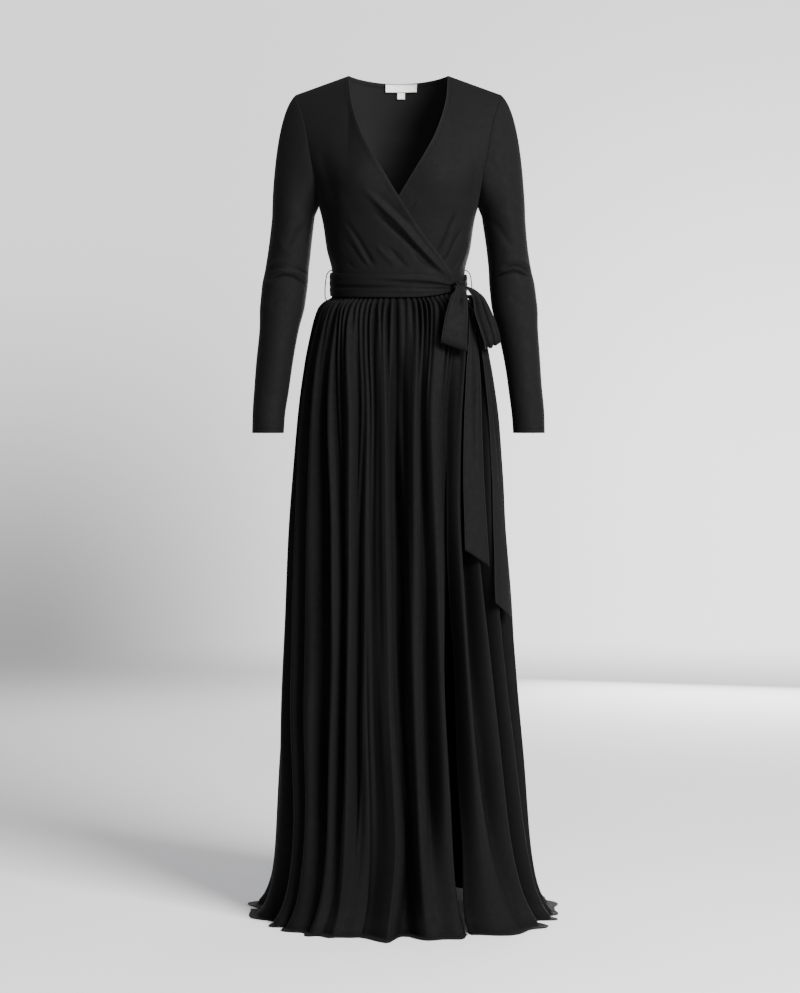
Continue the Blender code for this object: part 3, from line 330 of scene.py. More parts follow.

# %% [markdown]
# ## The six finishes
# Black jersey isn't pure black: it gives back less than one part in a hundred of the light,
# and a soft sheen at a grazing angle. The skirt and the belt, which is folded double, get
# darker copies of the bodice's colour as painted shade, since they hang in less light. The
# wrong side is paler, and is painted lighter still to stand in for the light inside the dress.
# The belt's carriers are a crocheted thread chain, and the labels are white satin tape. Each
# material places the groups with its own values; all uniform numbers sit on the shader's own
# sockets.

# %% Build a cloth material
def cloth_material(name, colour, roughness, sheen, specular, stitch=(0.0009, 0.0007), unevenness=0.05,
                   knit_depth=0.12, hem_depth=9.0, painted_edge_tone=2.2):
    """Base colour times knit, wear and hem tones, with painted shade in the knit and in folds and a painted
    light along hems; lint on top, and one Bump for knit, hem and pile.
    """
    material = bpy.data.materials.new(name)
    material.use_nodes = True
    tree = material.node_tree
    shader = tree.nodes["Principled BSDF"]
    shader.inputs["Specular IOR Level"].default_value = specular
    shader.inputs["Sheen Weight"].default_value = sheen
    shader.inputs["Sheen Roughness"].default_value = 0.42
    shader.inputs["Sheen Tint"].default_value = (0.93, 0.94, 1.0, 1.0)

    def place_group(group, **values):
        node = tree.nodes.new("ShaderNodeGroup")
        node.node_tree = group
        for title, value in values.items():
            node.inputs[title].default_value = value
        return node

    stitches = place_group(knit, Column=stitch[0], Row=stitch[1])
    marks = place_group(wear, Unevenness=unevenness)
    turned = place_group(hem, Depth=hem_depth)
    tone = math(tree, "MULTIPLY", stitches.outputs["Tone"], marks.outputs["Tone"])
    tone = math(tree, "MULTIPLY", tone, ramp(tree, turned.outputs["Stitches"], 0.0, 1.0, 1.0, 0.55))
    # painted edge light: near the edge the colour is multiplied by the edge factor, 2.2 on the jersey for a
    # painted highlight
    tone = math(tree, "MULTIPLY", tone, ramp(tree, turned.outputs["Painted Edge Light"], 0.0, 1.0, 1.0, painted_edge_tone))
    scaled = tree.nodes.new("ShaderNodeVectorMath")
    scaled.operation = "SCALE"
    scaled.inputs[0].default_value = colour
    # painted shade: deep in a fold the colour falls to 0.22 of itself
    painted_fold_shade = ramp(tree, attribute(tree, "fold_shade"), 0.1, 1.0, 1.0, 0.22)
    tree.links.new(math(tree, "MULTIPLY", tone, painted_fold_shade), scaled.inputs["Scale"])
    fluff = tree.nodes.new("ShaderNodeMix")
    fluff.data_type = "RGBA"
    tree.links.new(math(tree, "MULTIPLY", marks.outputs["Lint"], 0.35), fluff.inputs["Factor"])
    tree.links.new(scaled.outputs["Vector"], fluff.inputs["A"])
    fluff.inputs["B"].default_value = (0.11, 0.11, 0.115, 1.0)
    tree.links.new(fluff.outputs["Result"], shader.inputs["Base Color"])
    tree.links.new(ramp(tree, marks.outputs["Bumps"], 0.3, 0.7, roughness - 0.05, roughness + 0.05),
                   shader.inputs["Roughness"])
    heights = math(tree, "ADD", math(tree, "MULTIPLY", stitches.outputs["Height"], knit_depth),
                   math(tree, "ADD", math(tree, "MULTIPLY", turned.outputs["Height"], 0.5),
                        math(tree, "MULTIPLY", marks.outputs["Bumps"], 0.25)))
    bump = tree.nodes.new("ShaderNodeBump")
    bump.inputs["Strength"].default_value = 0.7
    bump.inputs["Distance"].default_value = 0.0008
    tree.links.new(heights, bump.inputs["Height"])
    tree.links.new(bump.outputs["Normal"], shader.inputs["Normal"])
    return material


jersey = cloth_material("soft black jersey", (0.0031, 0.0031, 0.0033), 0.80, 0.013, 0.05)
# painted shade: the skirt gets a darker copy of the bodice's colour, as it hangs in less light
skirt_jersey_painted_darker = cloth_material("jersey of the skirt, painted darker", (0.0027, 0.0027, 0.0029), 0.80, 0.012, 0.05)
# painted shade: the belt too gets a darker copy of the jersey's colour
belt_jersey_painted_darker = cloth_material("doubled belt jersey, painted darker", (0.0025, 0.0025, 0.0027), 0.76, 0.012, 0.05,
                             knit_depth=0.10, hem_depth=3.5)
# the wrong side is paler, and is painted lighter still to stand in for the light inside the dress
wrong_side_painted_lighter = cloth_material("wrong side of the jersey, painted lighter", (0.0080, 0.0080, 0.0082), 0.85, 0.015, 0.06)
thread = cloth_material("crocheted thread", (0.010, 0.010, 0.011), 0.6, 0.05, 0.25,
                        stitch=(0.0011, 0.0014), knit_depth=0.6, hem_depth=0.0, painted_edge_tone=1.0)
tape = cloth_material("white satin tape", (0.86, 0.86, 0.845), 0.5, 0.1, 0.4,
                      stitch=(0.0005, 0.0006), unevenness=0.03, knit_depth=0.25, hem_depth=1.6, painted_edge_tone=0.9)
print("finishes:", [m.name for m in (jersey, skirt_jersey_painted_darker, belt_jersey_painted_darker, wrong_side_painted_lighter, thread, tape)])

# %% [markdown]
# ## The body that fills the bodice
# Nobody wears the dress, but the cloth keeps the shape of a general figure. A section through
# the figure at any height is a rounded oval, a little squarer than an ellipse. Its width and
# its depths in front and behind come from a table, in millimetres below the shoulder points.

# %% Sizes of the torso
WAIST_SEAM = -378.0
UNDERARM = -232.0
FLOOR = -1480.0
ROUNDNESS = 2.25
NECK_HALF_WIDTH = 87.5
SHOULDER_TIP = 181.5
SHOULDER_DROP = 34.0
BACK_NECK_DROP = 6.0
NECK_RISE = 52.0
BELT_TOP = -356.0
BELT_BOTTOM = -391.0
TORSO = table("height half_width front back",
              (-378, 116, 90, 84), (-345, 117.9, 92, 85), (-307, 127, 98, 88), (-262, 133.5, 106, 92),
              (-232, 141, 111, 95), (-186, 161, 112, 98), (-140, 182, 106, 100), (-89, 205, 98, 98),
              (-34, 230, 92, 92), (60, 250, 88, 88))
ARMHOLE = table("height half_width", (UNDERARM, 141), (-186, 147), (-140, 156), (-89, 165),
                (-SHOULDER_DROP, SHOULDER_TIP))
WRAP_EDGE = table("height across",
                  (WAIST_SEAM, 99), (-361, 93.5), (-333, 77), (-283, 39), (-224, 0), (-181, -26.5),
                  (-148, -46), (-115, -62.8), (-76, -76.6), (-38, -84.8), (0, -NECK_HALF_WIDTH))


def oval(angle, half_width, front, back):
    """Sine and cosine raised to 2 / roundness, scaled by the width and depths, with normals."""
    across, along = power(np.sin(angle), 2 / ROUNDNESS), power(np.cos(angle), 2 / ROUNDNESS)
    depth = np.where(along > 0, front, back)
    nx, ny = power(across, ROUNDNESS - 1) / half_width, -power(along, ROUNDNESS - 1) / depth
    length = np.hypot(nx, ny)
    return half_width * across, -depth * along, nx / length, ny / length


def body_angle(x, z):
    """The angle at which the torso's oval reaches a distance across."""
    share = np.clip(np.abs(x) / at(TORSO, "half_width", z), 0, 1)
    return np.sign(x) * np.arcsin(share ** (ROUNDNESS / 2))


print("bodice is", SHOULDER_TIP * 2, "mm wide at the shoulders and", -WAIST_SEAM, "mm high")


# %% Depth of the body under the cloth
BUST = {"height": -196.0, "offset": 72.0, "fullness": 13.0, "spread": 44.0}
SHOULDER_REACH = {"front": 200.0, "back": 150.0}


def shoulder_line(x):
    """A straight slope from the neck to the shoulder tip, carried up in a bow inside the neck."""
    x = np.abs(x)
    slope = -SHOULDER_DROP * (x - NECK_HALF_WIDTH) / (SHOULDER_TIP - NECK_HALF_WIDTH)
    return np.where(x > NECK_HALF_WIDTH, slope, NECK_RISE * (1 - (x / NECK_HALF_WIDTH) ** 2))


def body_depth(angle, x, z, face):
    """The oval's depth plus a round bust, drawn in to nothing towards the shoulder seam."""
    depth = at(TORSO, face, z) * np.abs(np.cos(angle)) ** (2 / ROUNDNESS)
    if face == "front":
        near = (np.abs(x) - BUST["offset"]) ** 2 + (z - BUST["height"]) ** 2
        depth = depth + BUST["fullness"] * np.exp(-near / BUST["spread"] ** 2) * np.abs(np.cos(angle)) ** 0.5
    fall = np.clip((shoulder_line(x) - z) / SHOULDER_REACH[face], 0, 1)
    return depth * (1 - (1 - fall) ** 1.6) ** 0.75


# %% [markdown]
# ## Creases placed one by one
# The bodice is pulled towards the tie on the wearer's left, so folds run down to it in long
# slanting lines. Simulated cloth would put them in other places. Here each crease is a short
# list of spots that it passes, with its own height, width and lean: a rounded ridge, or a
# trough where the height is below zero, that fades out at both ends. Where it leans, one side
# is drawn in, because cloth that is pushed up on one side is missing on the other. A trough
# also darkens the cloth's colour as painted shade, fully at the depth set below.

# %% Ridges and troughs along curved lines
FULL_SHADE_DEPTH = 3.6


def relief(creases, x, z):
    """Sum over the lines of height * exp(-a^2) * (1 + lean * a), a being the distance in widths."""
    total = np.zeros(np.broadcast(x, z).shape)
    for spots, height, width, lean in creases:
        spots = np.array(spots, dtype=float)
        steep = np.ptp(spots[:, 1]) > np.ptp(spots[:, 0])
        run, beside = (z, x) if steep else (x, z)
        knots, values = (spots[:, ::-1] if steep else spots).T
        order = np.argsort(knots)
        knots, values = knots[order], values[order]
        slope = through(knots, values, run + 1) - through(knots, values, run - 1)
        a = (beside - through(knots, values, run)) / np.hypot(1, slope / 2) / width
        reach = knots[-1] - knots[0]
        fade = smooth(knots[0] - 0.08 * reach, knots[0] + 0.25 * reach, run)
        fade = fade * (1 - smooth(knots[-1] - 0.25 * reach, knots[-1] + 0.08 * reach, run))
        total += height * fade * np.exp(-a * a) * (1 + lean * a)
    return total


# %% Creases on the bodice
RIGHT_FRONT_CREASES = [
    (((-60, -216), (-41, -233), (4, -276), (30, -306), (60, -338), (96, -372)), 4.6, 6.5, 0.9),
    (((-44, -250), (-30, -261), (-9, -280), (22, -308), (44, -329), (80, -366)), -2.8, 4.6, 0.2),
    (((-40, -216), (-9, -245), (16, -275)), -1.5, 7.0, 0.3),
    (((-92, -262), (-66, -304), (-40, -350)), -2.7, 4.6, 0.6),
    (((-98, -256), (-74, -298), (-52, -346)), 1.5, 7.5, 0.4),
    (((-88, -298), (-70, -323), (-52, -350)), -1.5, 3.8, 0.5),
    (((-86, -334), (-79, -343), (-74, -352)), -1.8, 3.0, 0.3),
    (((-16, -311), (4, -335), (16, -352)), -2.0, 4.0, 0.4),
    (((-38, -310), (-20, -328), (-6, -342)), 1.7, 4.6, 0.3),
    (((24, -322), (46, -342), (66, -360)), -1.4, 3.4, 0.3),
    (((-104, -212), (-92, -250), (-74, -292)), 1.3, 12.0, 0.4),
    (((-134, -140), (-126, -180), (-112, -220)), -1.6, 9.0, 0.3),
    (((-120, -100), (-112, -140), (-92, -182)), 0.9, 14.0, 0.4),
    (((-84, -60), (-88, -96), (-86, -128)), -0.8, 7.0, 0.3),
]
LEFT_FRONT_CREASES = [
    (((104, -244), (81, -296), (66, -328)), -2.4, 4.6, -0.6),
    (((110, -274), (92, -306), (76, -340)), -2.6, 4.0, 0.5),
    (((100, -262), (86, -300), (70, -336)), 1.8, 4.6, 0.4),
    (((31, -236), (25, -242), (18, -249)), -1.2, 2.6, 0.2),
    (((122, -292), (114, -320), (100, -350)), 1.7, 5.0, 0.4),
    (((116, -300), (106, -326), (92, -352)), -1.6, 3.6, 0.2),
    (((134, -150), (128, -190), (114, -232)), -1.4, 9.0, 0.3),
    (((122, -104), (110, -140), (88, -176)), 0.9, 14.0, -0.4),
]
BACK_CREASES = [
    (((-66, -222), (-44, -262), (-16, -306)), -2.2, 12, 0.3),
    (((66, -230), (46, -270), (20, -316)), -1.9, 12, -0.3),
    (((-92, -314), (-56, -334), (-16, -352)), -2.2, 7, 0.4),
    (((90, -306), (58, -328), (22, -348)), -2.2, 8, 0.3),
    (((-106, -262), (-86, -300), (-62, -342)), 2.0, 8, 0.5),
    (((104, -254), (84, -294), (56, -338)), 1.8, 9, -0.5),
    (((-130, -164), (-118, -200), (-94, -240)), -1.5, 11, 0.3),
    (((128, -160), (114, -200), (90, -244)), -1.6, 10, 0.3),
    (((-48, -118), (0, -128), (42, -130)), 0.9, 15, 0.2),
    (((-22, -328), (4, -342), (32, -353)), 1.4, 5, 0.3),
    (((-72, -336), (-58, -346), (-44, -355)), 1.5, 4.5, 0.2),
    (((56, -332), (48, -344), (38, -355)), 1.3, 4.5, 0.2),
]
print("bodice creases:", len(RIGHT_FRONT_CREASES) + len(LEFT_FRONT_CREASES) + len(BACK_CREASES))

# %% [markdown]
# ## The two fronts
# Each front is one cut piece: from the shoulder seam, along the armhole and side seam to the
# waist, and back up its long free edge. The wearer's right front laps over the left one. Each
# row of the grid runs from the free edge round the torso to the armhole or side seam, so the
# free edge is a clean line of points and can be hemmed.

# %% Draft the fronts
BODY_ROWS, ARMHOLE_ROWS, FRONT_COLUMNS = 46, 60, 134
WRAP_TURN = -230.0
OVERLAP_LIFT, UNDER_SINK = 2.7, 0.8


def outer_edge():
    """Heights and distances from the middle of the side seam and armhole, closer at its ends."""
    side = np.linspace(WAIST_SEAM, UNDERARM, BODY_ROWS + 1)[:-1]
    step = (1 - np.cos(np.pi * np.linspace(0, 1, ARMHOLE_ROWS + 1))) / 2
    z = np.concatenate([side, UNDERARM + (-SHOULDER_DROP - UNDERARM) * step])[:, None]
    return z, np.where(z < UNDERARM, at(TORSO, "half_width", z), at(ARMHOLE, "half_width", z))


def torso_hint(points):
    """Rough outward directions: away from the body's upright axis."""
    return unit(points * [1, 1.4, 0])


def front_grid(side, creases):
    """Rows along the oval from the free edge to the seam; z changes evenly with x on each row."""
    outer_z, outer_x = outer_edge()
    low = np.linspace(WAIST_SEAM, WRAP_TURN, BODY_ROWS + 1)[:-1]
    high = WRAP_TURN * (1 - np.linspace(0, 1, ARMHOLE_ROWS + 1)) ** 1.3
    inner_z = np.concatenate([low, high])[:, None]
    inner_x = at(WRAP_EDGE, "across", inner_z)
    steps = np.linspace(0, 1, FRONT_COLUMNS)[None] ** 1.4
    start, end = body_angle(inner_x, inner_z), body_angle(-outer_x, outer_z)
    angle = start + (end - start) * steps
    z = inner_z + (outer_z - inner_z) * steps
    for _ in range(4):
        x = at(TORSO, "half_width", z) * power(np.sin(angle), 2 / ROUNDNESS)
        z = inner_z + (outer_z - inner_z) * (x - inner_x) / (-outer_x - inner_x)
    points = xyz(-side * x, -body_depth(angle, x, z, "front"), z)
    normals = grid_normals(points, torso_hint(points))
    x, z = points[..., 0], points[..., 2]
    band_top = np.interp(x, (0, 50, 78, 104), (-350, -356, -365, -360))
    fade = smooth(band_top, band_top + 16, z) * (1 - smooth(0.9, 1, steps))
    out = relief(creases, x, z) * fade
    if side > 0:
        beside = x - at(WRAP_EDGE, "across", z)
        out = out - UNDER_SINK * (1 - smooth(0, 20, beside)) * (1 - smooth(-224, -190, z))
    else:
        out = out + OVERLAP_LIFT * smooth(-116, -98, x) * (1 - smooth(-196, -150, z))
    points = points + normals * out[..., None]
    points[:BODY_ROWS + 1, -1, 1] = points[-1, :, 1] = 0
    # the third result is the painted shade: how deep each point lies in a crease's trough
    return points, normals, -relief(creases, x, z) * fade / FULL_SHADE_DEPTH


# %% Make the fronts
fronts = {-1: front_grid(-1, RIGHT_FRONT_CREASES), 1: front_grid(1, LEFT_FRONT_CREASES)}
for side, word in ((-1, "right"), (1, "left")):
    points, normals, fold_shade = fronts[side]
    piece = cloth("bodice_front_cloth_" + word, points, normals, ["bodice_front_" + word], jersey,
                  edge=walk(points, 1), fold_shade=fold_shade)
    tell_area(piece, points)

# %% [markdown]
# ## The back
# The back is one piece across both shoulder blades, with a neck edge that dips only a little.
# It is drafted row by row from the waist up; towards the top the rows bend up to the shoulder
# seams, and a column of the grid ends on each corner between the neck edge and a shoulder.

# %% Draft the back
BACK_COLUMNS, NECK_SHARE = 161, 0.5


def back_grid():
    """Rows across the oval; in the armhole part each row rises by a share of the top edge's rise."""
    outer_z, outer_x = outer_edge()
    spread = np.clip((outer_z - UNDERARM) / (-SHOULDER_DROP - UNDERARM), 0, 1)
    across = np.linspace(-1, 1, BACK_COLUMNS)[None]
    tip, neck = body_angle(SHOULDER_TIP, -SHOULDER_DROP), body_angle(NECK_HALF_WIDTH, 0.0)
    inside = np.minimum(np.abs(across) / NECK_SHARE, 1) * neck
    beyond = np.clip((np.abs(across) - NECK_SHARE) / (1 - NECK_SHARE), 0, 1) * (tip - neck)
    warped = np.sign(across) * (inside + beyond) / tip
    angle = body_angle(outer_x, outer_z) * (across * (1 - spread) + warped * spread)
    z = outer_z + 0 * angle
    for _ in range(5):
        x = at(TORSO, "half_width", z) * power(np.sin(angle), 2 / ROUNDNESS)
        dip = -BACK_NECK_DROP * (1 - np.clip(np.abs(x) / NECK_HALF_WIDTH, 0, 1) ** 2)
        top = np.where(np.abs(x) > NECK_HALF_WIDTH, shoulder_line(x), dip)
        z = outer_z + spread * (top + SHOULDER_DROP)
    x[:, 0], x[:, -1] = -outer_x[:, 0], outer_x[:, 0]
    points = xyz(x, body_depth(angle, x, z, "back"), z)
    normals = grid_normals(points, torso_hint(points))
    fade = smooth(BELT_TOP, BELT_TOP + 22, z) * smooth(0, 0.08, 1 - np.abs(across))
    points = points + normals * (relief(BACK_CREASES, x, z) * fade)[..., None]
    points[:BODY_ROWS + 1, [0, -1], 1] = 0
    points[-1, np.abs(points[-1, :, 0]) > NECK_HALF_WIDTH - 0.5, 1] = 0
    return points, normals


# %% Make the back
back, back_normals = back_grid()
inside_neck = np.abs(back[..., 0]) < NECK_HALF_WIDTH - 1
piece = cloth("bodice_back_cloth", back, back_normals, ["bodice_back"], jersey,
              edge=np.where(inside_neck, walk(back[::-1])[::-1], FAR_FROM_HEM), lining=wrong_side_painted_lighter)
tell_area(piece, back)

# %% [markdown]
# ## The sleeves
# A set-in sleeve starts as the armhole's own loop and becomes a round tube at the underarm.
# Between the two, each column follows a cubic from the seam to the first ring, so the cap
# rolls over the shoulder without a fold. Below it the rings follow the arm, which hangs a
# little forwards. The creases are where the elbow bends and under the armhole.

# %% Sizes and creases of the sleeves
ARM = table("height centre half_width half_depth forward",
            (-254, 186.3, 38.3, 50, 0), (-307, 192.5, 37.5, 48, -1), (-342, 197, 38, 46, -3),
            (-372, 201, 40, 45, -6), (-405, 204.6, 40, 44, -10), (-449, 210.4, 35.6, 41, -17),
            (-502, 217.6, 32.6, 38, -25), (-556, 223.2, 30, 35, -33), (-602, 227.8, 28.5, 33, -40),
            (-632, 229, 27.9, 32, -44))
ARM_START, CUFF = -254.0, -632.0
RIGHT_ELBOW = [
    (((-226, -364), (-222, -361), (-202, -355), (-186, -357), (-160, -372)), -3.4, 2.3, -0.5),
    (((-226, -352), (-202, -346), (-184, -348), (-160, -360)), 2.6, 4.6, 0.4),
    (((-228, -349), (-222, -346), (-211, -342), (-186, -347)), -2.4, 2.4, -0.4),
    (((-228, -338), (-208, -333), (-186, -336)), 1.6, 4.2, 0.4),
    (((-196, -344), (-178, -345), (-160, -352)), -2.6, 3.6, 0.3),
    (((-238, -372), (-222, -372), (-204, -368)), 1.2, 6.0, 0.5),
    (((-166, -262), (-182, -286), (-198, -312)), -1.8, 7.0, 0.4),
    (((-176, -240), (-192, -262), (-206, -282)), 1.3, 8.0, 0.4),
    (((-224, -408), (-210, -402), (-194, -398)), -1.2, 7.0, 0.4),
    (((-214, -296), (-200, -312), (-182, -324)), 1.0, 9.0, 0.5),
    (((-232, -452), (-214, -448), (-198, -450)), -0.8, 9.0, 0.3),
    (((-238, -560), (-226, -566), (-206, -562)), -0.8, 8.0, 0.3),
]
LEFT_ELBOW = [
    (((182, -346), (190, -342), (205, -338), (221, -342), (234, -353)), -2.8, 2.5, -0.5),
    (((180, -334), (205, -329), (222, -333), (236, -344)), 2.2, 4.4, 0.4),
    (((164, -366), (170, -360), (184, -353), (203, -349), (219, -352), (236, -358)), -3.5, 2.3, -0.5),
    (((176, -350), (203, -344), (222, -347)), 2.0, 3.0, 0.3),
    (((166, -372), (190, -362), (214, -360)), 1.2, 6.0, 0.4),
    (((236, -372), (224, -374), (206, -372)), 1.2, 6.0, 0.4),
    (((164, -258), (180, -280), (198, -308)), -1.7, 7.0, 0.4),
    (((178, -242), (194, -262), (208, -280)), 1.2, 8.0, 0.4),
    (((224, -408), (210, -400), (194, -396)), -1.2, 7.0, 0.4),
    (((216, -292), (202, -308), (182, -320)), 1.0, 9.0, 0.5),
    (((230, -470), (214, -466), (200, -470)), -0.8, 9.0, 0.3),
    (((240, -566), (226, -572), (206, -566)), -0.8, 8.0, 0.3),
]
ELBOW_BEHIND = [
    (((180, -318), (206, -326), (234, -340)), -1.6, 8.0, 0.3),
    (((174, -350), (206, -356), (238, -368)), -1.8, 7.0, 0.4),
    (((182, -388), (210, -388), (240, -394)), 1.4, 8.0, 0.4),
    (((166, -266), (184, -286), (202, -314)), -1.7, 8.0, 0.3),
]
print("sleeve creases:", len(RIGHT_ELBOW) + len(LEFT_ELBOW) + 2 * len(ELBOW_BEHIND))

# %% Draft the sleeves
CAP_ROWS, ARM_ROWS = 36, 196


def arm_ring(side, height, angle):
    """A level ellipse round the arm: angle 0 is the outer side and a quarter turn is the front."""
    x = side * (at(ARM, "centre", height) + at(ARM, "half_width", height) * np.cos(angle))
    y = at(ARM, "forward", height) - at(ARM, "half_depth", height) * np.sin(angle)
    return xyz(x, y, height)


def sleeve_grid(side, creases):
    """Armhole loop, then a cubic with given pulls at both ends, then rings down to the cuff."""
    front, column = fronts[side][0], 0 if side < 0 else -1
    down = slice(None, BODY_ROWS - 1, -1)
    loop = np.concatenate([front[down, -1], back[BODY_ROWS + 1:-1, column]])
    angle = 2 * np.pi * np.arange(len(loop)) / len(loop)
    topness = (1 + np.cos(angle)) / 2
    first = arm_ring(side, ARM_START + 0 * angle, angle)
    # pulls in millimetres at the underarm, and what is added to them at the shoulder
    start_pull = xyz(side * (4 + 91 * topness), -8 * np.sin(angle), -(20 + 60 * topness))
    end_pull = xyz(side * 8 * topness, 0, -(22 + 208 * topness))
    t = np.linspace(0, 1, CAP_ROWS)[:-1, None, None]
    cap = ((1 - 3 * t ** 2 + 2 * t ** 3) * loop + (3 * t ** 2 - 2 * t ** 3) * first
           + t * (1 - t) ** 2 * start_pull + t * t * (t - 1) * end_pull)
    arm = arm_ring(side, np.linspace(ARM_START, CUFF, ARM_ROWS)[:, None], angle[None])
    points = np.concatenate([cap, arm])
    around = np.concatenate([points[:, -1:], joined(points)], axis=1)
    normals = grid_normals(around, around - points.mean(axis=1, keepdims=True))[:, 1:-1]
    x, z = points[..., 0], points[..., 2]
    facing = smooth(-0.1, 0.35, -normals[..., 1])
    behind = smooth(-0.1, 0.35, normals[..., 1])
    out = relief(creases, x, z) * facing + relief(ELBOW_BEHIND, side * x, z) * behind
    slow = 0.7 * np.sin(z / 34 + 2 * angle + side) * smooth(CUFF, -560, z) * smooth(-190, -260, z)
    # the third result is the painted shade in the creases' troughs
    return points + normals * (out + slow)[..., None], normals, -out / FULL_SHADE_DEPTH


# %% Make the sleeves
for side, word, creases in ((-1, "right", RIGHT_ELBOW), (1, "left", LEFT_ELBOW)):
    points, normals, fold_shade = sleeve_grid(side, creases)
    piece = cloth("sleeve_cloth_" + word, points, normals, ["sleeve_" + word], jersey, closed=True,
                  edge=points[..., 2] - CUFF, fold_shade=fold_shade)
    tell_area(piece, joined(points))

# %% [markdown]
# ## The skirt
# Three panels are gathered into the waist seam: wide in front on the wearer's right, narrow
# on the left of the slit, and one behind. Two things happen in gathered cloth. Many fine
# pleats leave the seam and die away at different heights, and a few large folds take over
# and run down to the floor. Each large fold has a row in a table that says at which angle its
# ridge runs at six heights, and how deep and where the valley beside it lies. Each fine
# pleat gets its own depth and length.

# %% Sizes and folds of the skirt
SKIRT_TOP, BELOW_BELT = -378.3, -399.0
SKIRT = table("height half_width front back fold valley gather sway",
              (SKIRT_TOP, 115.5, 89.5, 84, 0.3, 0.3, 1.0, 0), (-391, 116.5, 90.5, 85, 0.4, 0.4, 1.8, 0),
              (-399, 127.5, 97, 93, 0.8, 1.0, 2.8, 0), (-414, 138, 104, 104, 1.4, 2.0, 3.1, 0),
              (-450, 150, 111, 115, 2.4, 5.0, 2.9, 0), (-510, 163, 119, 127, 3.4, 10, 1.8, -1),
              (-600, 175, 130, 138, 4.4, 16, 0.7, -1.5), (-751, 187, 144, 148, 5.8, 21, 0.2, -1),
              (-893, 195, 158, 157, 7.0, 23, 0.0, 0), (-1106, 206, 180, 170, 8.6, 26, 0.0, 1.5),
              (-1319, 219, 203, 184, 10.0, 29, 0.0, 6), (-1405, 227, 213, 191, 10.6, 29, 0.0, 8),
              (-1462, 242, 227, 201, 11.0, 28, 0.0, 9), (-1478.4, 254, 240, 212, 10.0, 27, 0.0, 9))
FOLD_HEIGHTS = (-378, -625, -815, -1070, -1320, -1470)
# phase, angle at each of the six heights, ridge height, kick of the hem, gathers up to the
# next fold, and for the valley after it: its place from 0 to 1, its depth, its depth at the hem
RIGHT_PANEL = (
    (-0.5, -90, -90, -90, -90, -90, -90, 0.7, 22, 1, 0.50, 0.8, 0.6),
    (0, -82, -80, -78, -76, -74, -76, 0.8, 8, 2, 0.50, 1.0, 1.0),
    (1, -71, -70, -64.7, -61, -53.6, -56, 0.9, 4, 2, 0.50, 0.8, 0.6),
    (2, -60, -54, -51.2, -48.4, -44.2, -46, 0.9, 8, 2, 0.66, 1.3, 0.5),
    (3, -48, -38.8, -33, -31, -31, -33, 1.1, 12, 3, 0.42, 1.0, 0.3),
    (4, -35, -24, -22.5, -21.5, -22, -24, 1.2, 12, 3, 0.34, 0.8, 0.15),
    (5, -22, -14.4, -14.4, -13.6, -12.4, -14, -0.8, 13, 3, 0.34, 0.25, 0.1),
    (6, -8, -5.2, -4.6, -3.6, -1.9, -4.5, 1.7, 20, 4, 0.40, 1.7, 1.6),
    (7, 11, 7.7, 7.0, 6.3, 6.4, 7.4, 0.9, 16, 4, 0.42, 1.2, 0.2),
    (8, 28, 17.3, 17.6, 17.8, 18, 18, 1.1, 12, 3, 0.50, 1.0, 0.9),
    (8.5, 43.92, 27.45, 24.85, 22.2, 22.1, 22.7, 0.6, 10, 0, 0.50, 1.0, 0.9))
LEFT_PANEL = (
    (8.5, 44.08, 27.55, 24.95, 28.2, 27.1, 23.9, 0.6, 10, 1, 0.50, 1.0, 0.9),
    (9, 51, 33.5, 30, 31.5, 34, 38, 1.1, 20, 2, 0.55, 1.2, 0.4),
    (10, 61, 45, 42, 48, 51, 57, 1.1, 16, 2, 0.50, 1.5, 1.2),
    (11, 71, 58.9, 54, 61, 67, 72, 0.9, 9, 2, 0.55, 1.2, 0.5),
    (12, 82, 71, 69, 75, 79, 82, 1.0, 6, 1, 0.50, 0.9, 0.9),
    (12.5, 90, 90, 90, 90, 90, 90, 0.7, 24, 0, 0.50, 0.9, 0.9))
BACK_PANEL = (
    (12.5, 90, 90, 90, 90, 90, 90, 0.7, 24, 1, 0.50, 0.9, 0.9),
    (13, 98, 99, 100, 100, 99, 101, 0.9, 14, 3, 0.56, 1.0, 0.4),
    (14, 113, 114, 113, 115, 117, 116, 1.1, 10, 3, 0.40, 1.3, 0.9),
    (15, 128, 130, 131, 129, 130, 131, 0.8, 14, 3, 0.50, 0.6, 0.3),
    (16, 143, 143, 144, 147, 149, 148, 1.2, 12, 3, 0.62, 1.2, 0.5),
    (17, 158, 159, 158, 160, 162, 163, 0.9, 9, 3, 0.45, 0.9, 0.3),
    (18, 173, 172, 175, 176, 175, 177, 1.2, 15, 3, 0.38, 1.5, 1.1),
    (19, 188, 190, 188, 190, 193, 192, 0.8, 11, 3, 0.55, 0.7, 0.3),
    (20, 203, 202, 205, 206, 205, 206, 1.1, 13, 3, 0.50, 1.1, 0.6),
    (21, 218, 220, 219, 218, 221, 220, 0.9, 9, 3, 0.42, 0.8, 0.3),
    (22, 233, 232, 231, 234, 235, 234, 1.2, 12, 3, 0.60, 1.3, 0.9),
    (23, 248, 249, 247, 246, 247, 246, 0.9, 12, 3, 0.50, 0.9, 0.5),
    (24, 262, 260, 261, 259, 260, 259, 0.9, 14, 1, 0.50, 0.9, 0.9),
    (24.5, 270, 270, 270, 270, 270, 270, 0.7, 22, 0, 0.50, 0.8, 0.6))
print("gathers:", sum(row[9] for row in RIGHT_PANEL + LEFT_PANEL + BACK_PANEL))


# %% The fine gathers and the large folds as one relief
GATHER_HEIGHT, GATHER_SHADE = 4.0, 1.2


def waist_tilt(angle, height):
    """The waist dips in front and rises behind with the cosine of the angle, and fades out."""
    turn = np.cos(angle)
    tilt = np.where(turn > 0, -7.0, -3.0) * turn
    return tilt * smooth(WAIST_SEAM - 1, BELT_BOTTOM, height) * smooth(-560, -410, height)


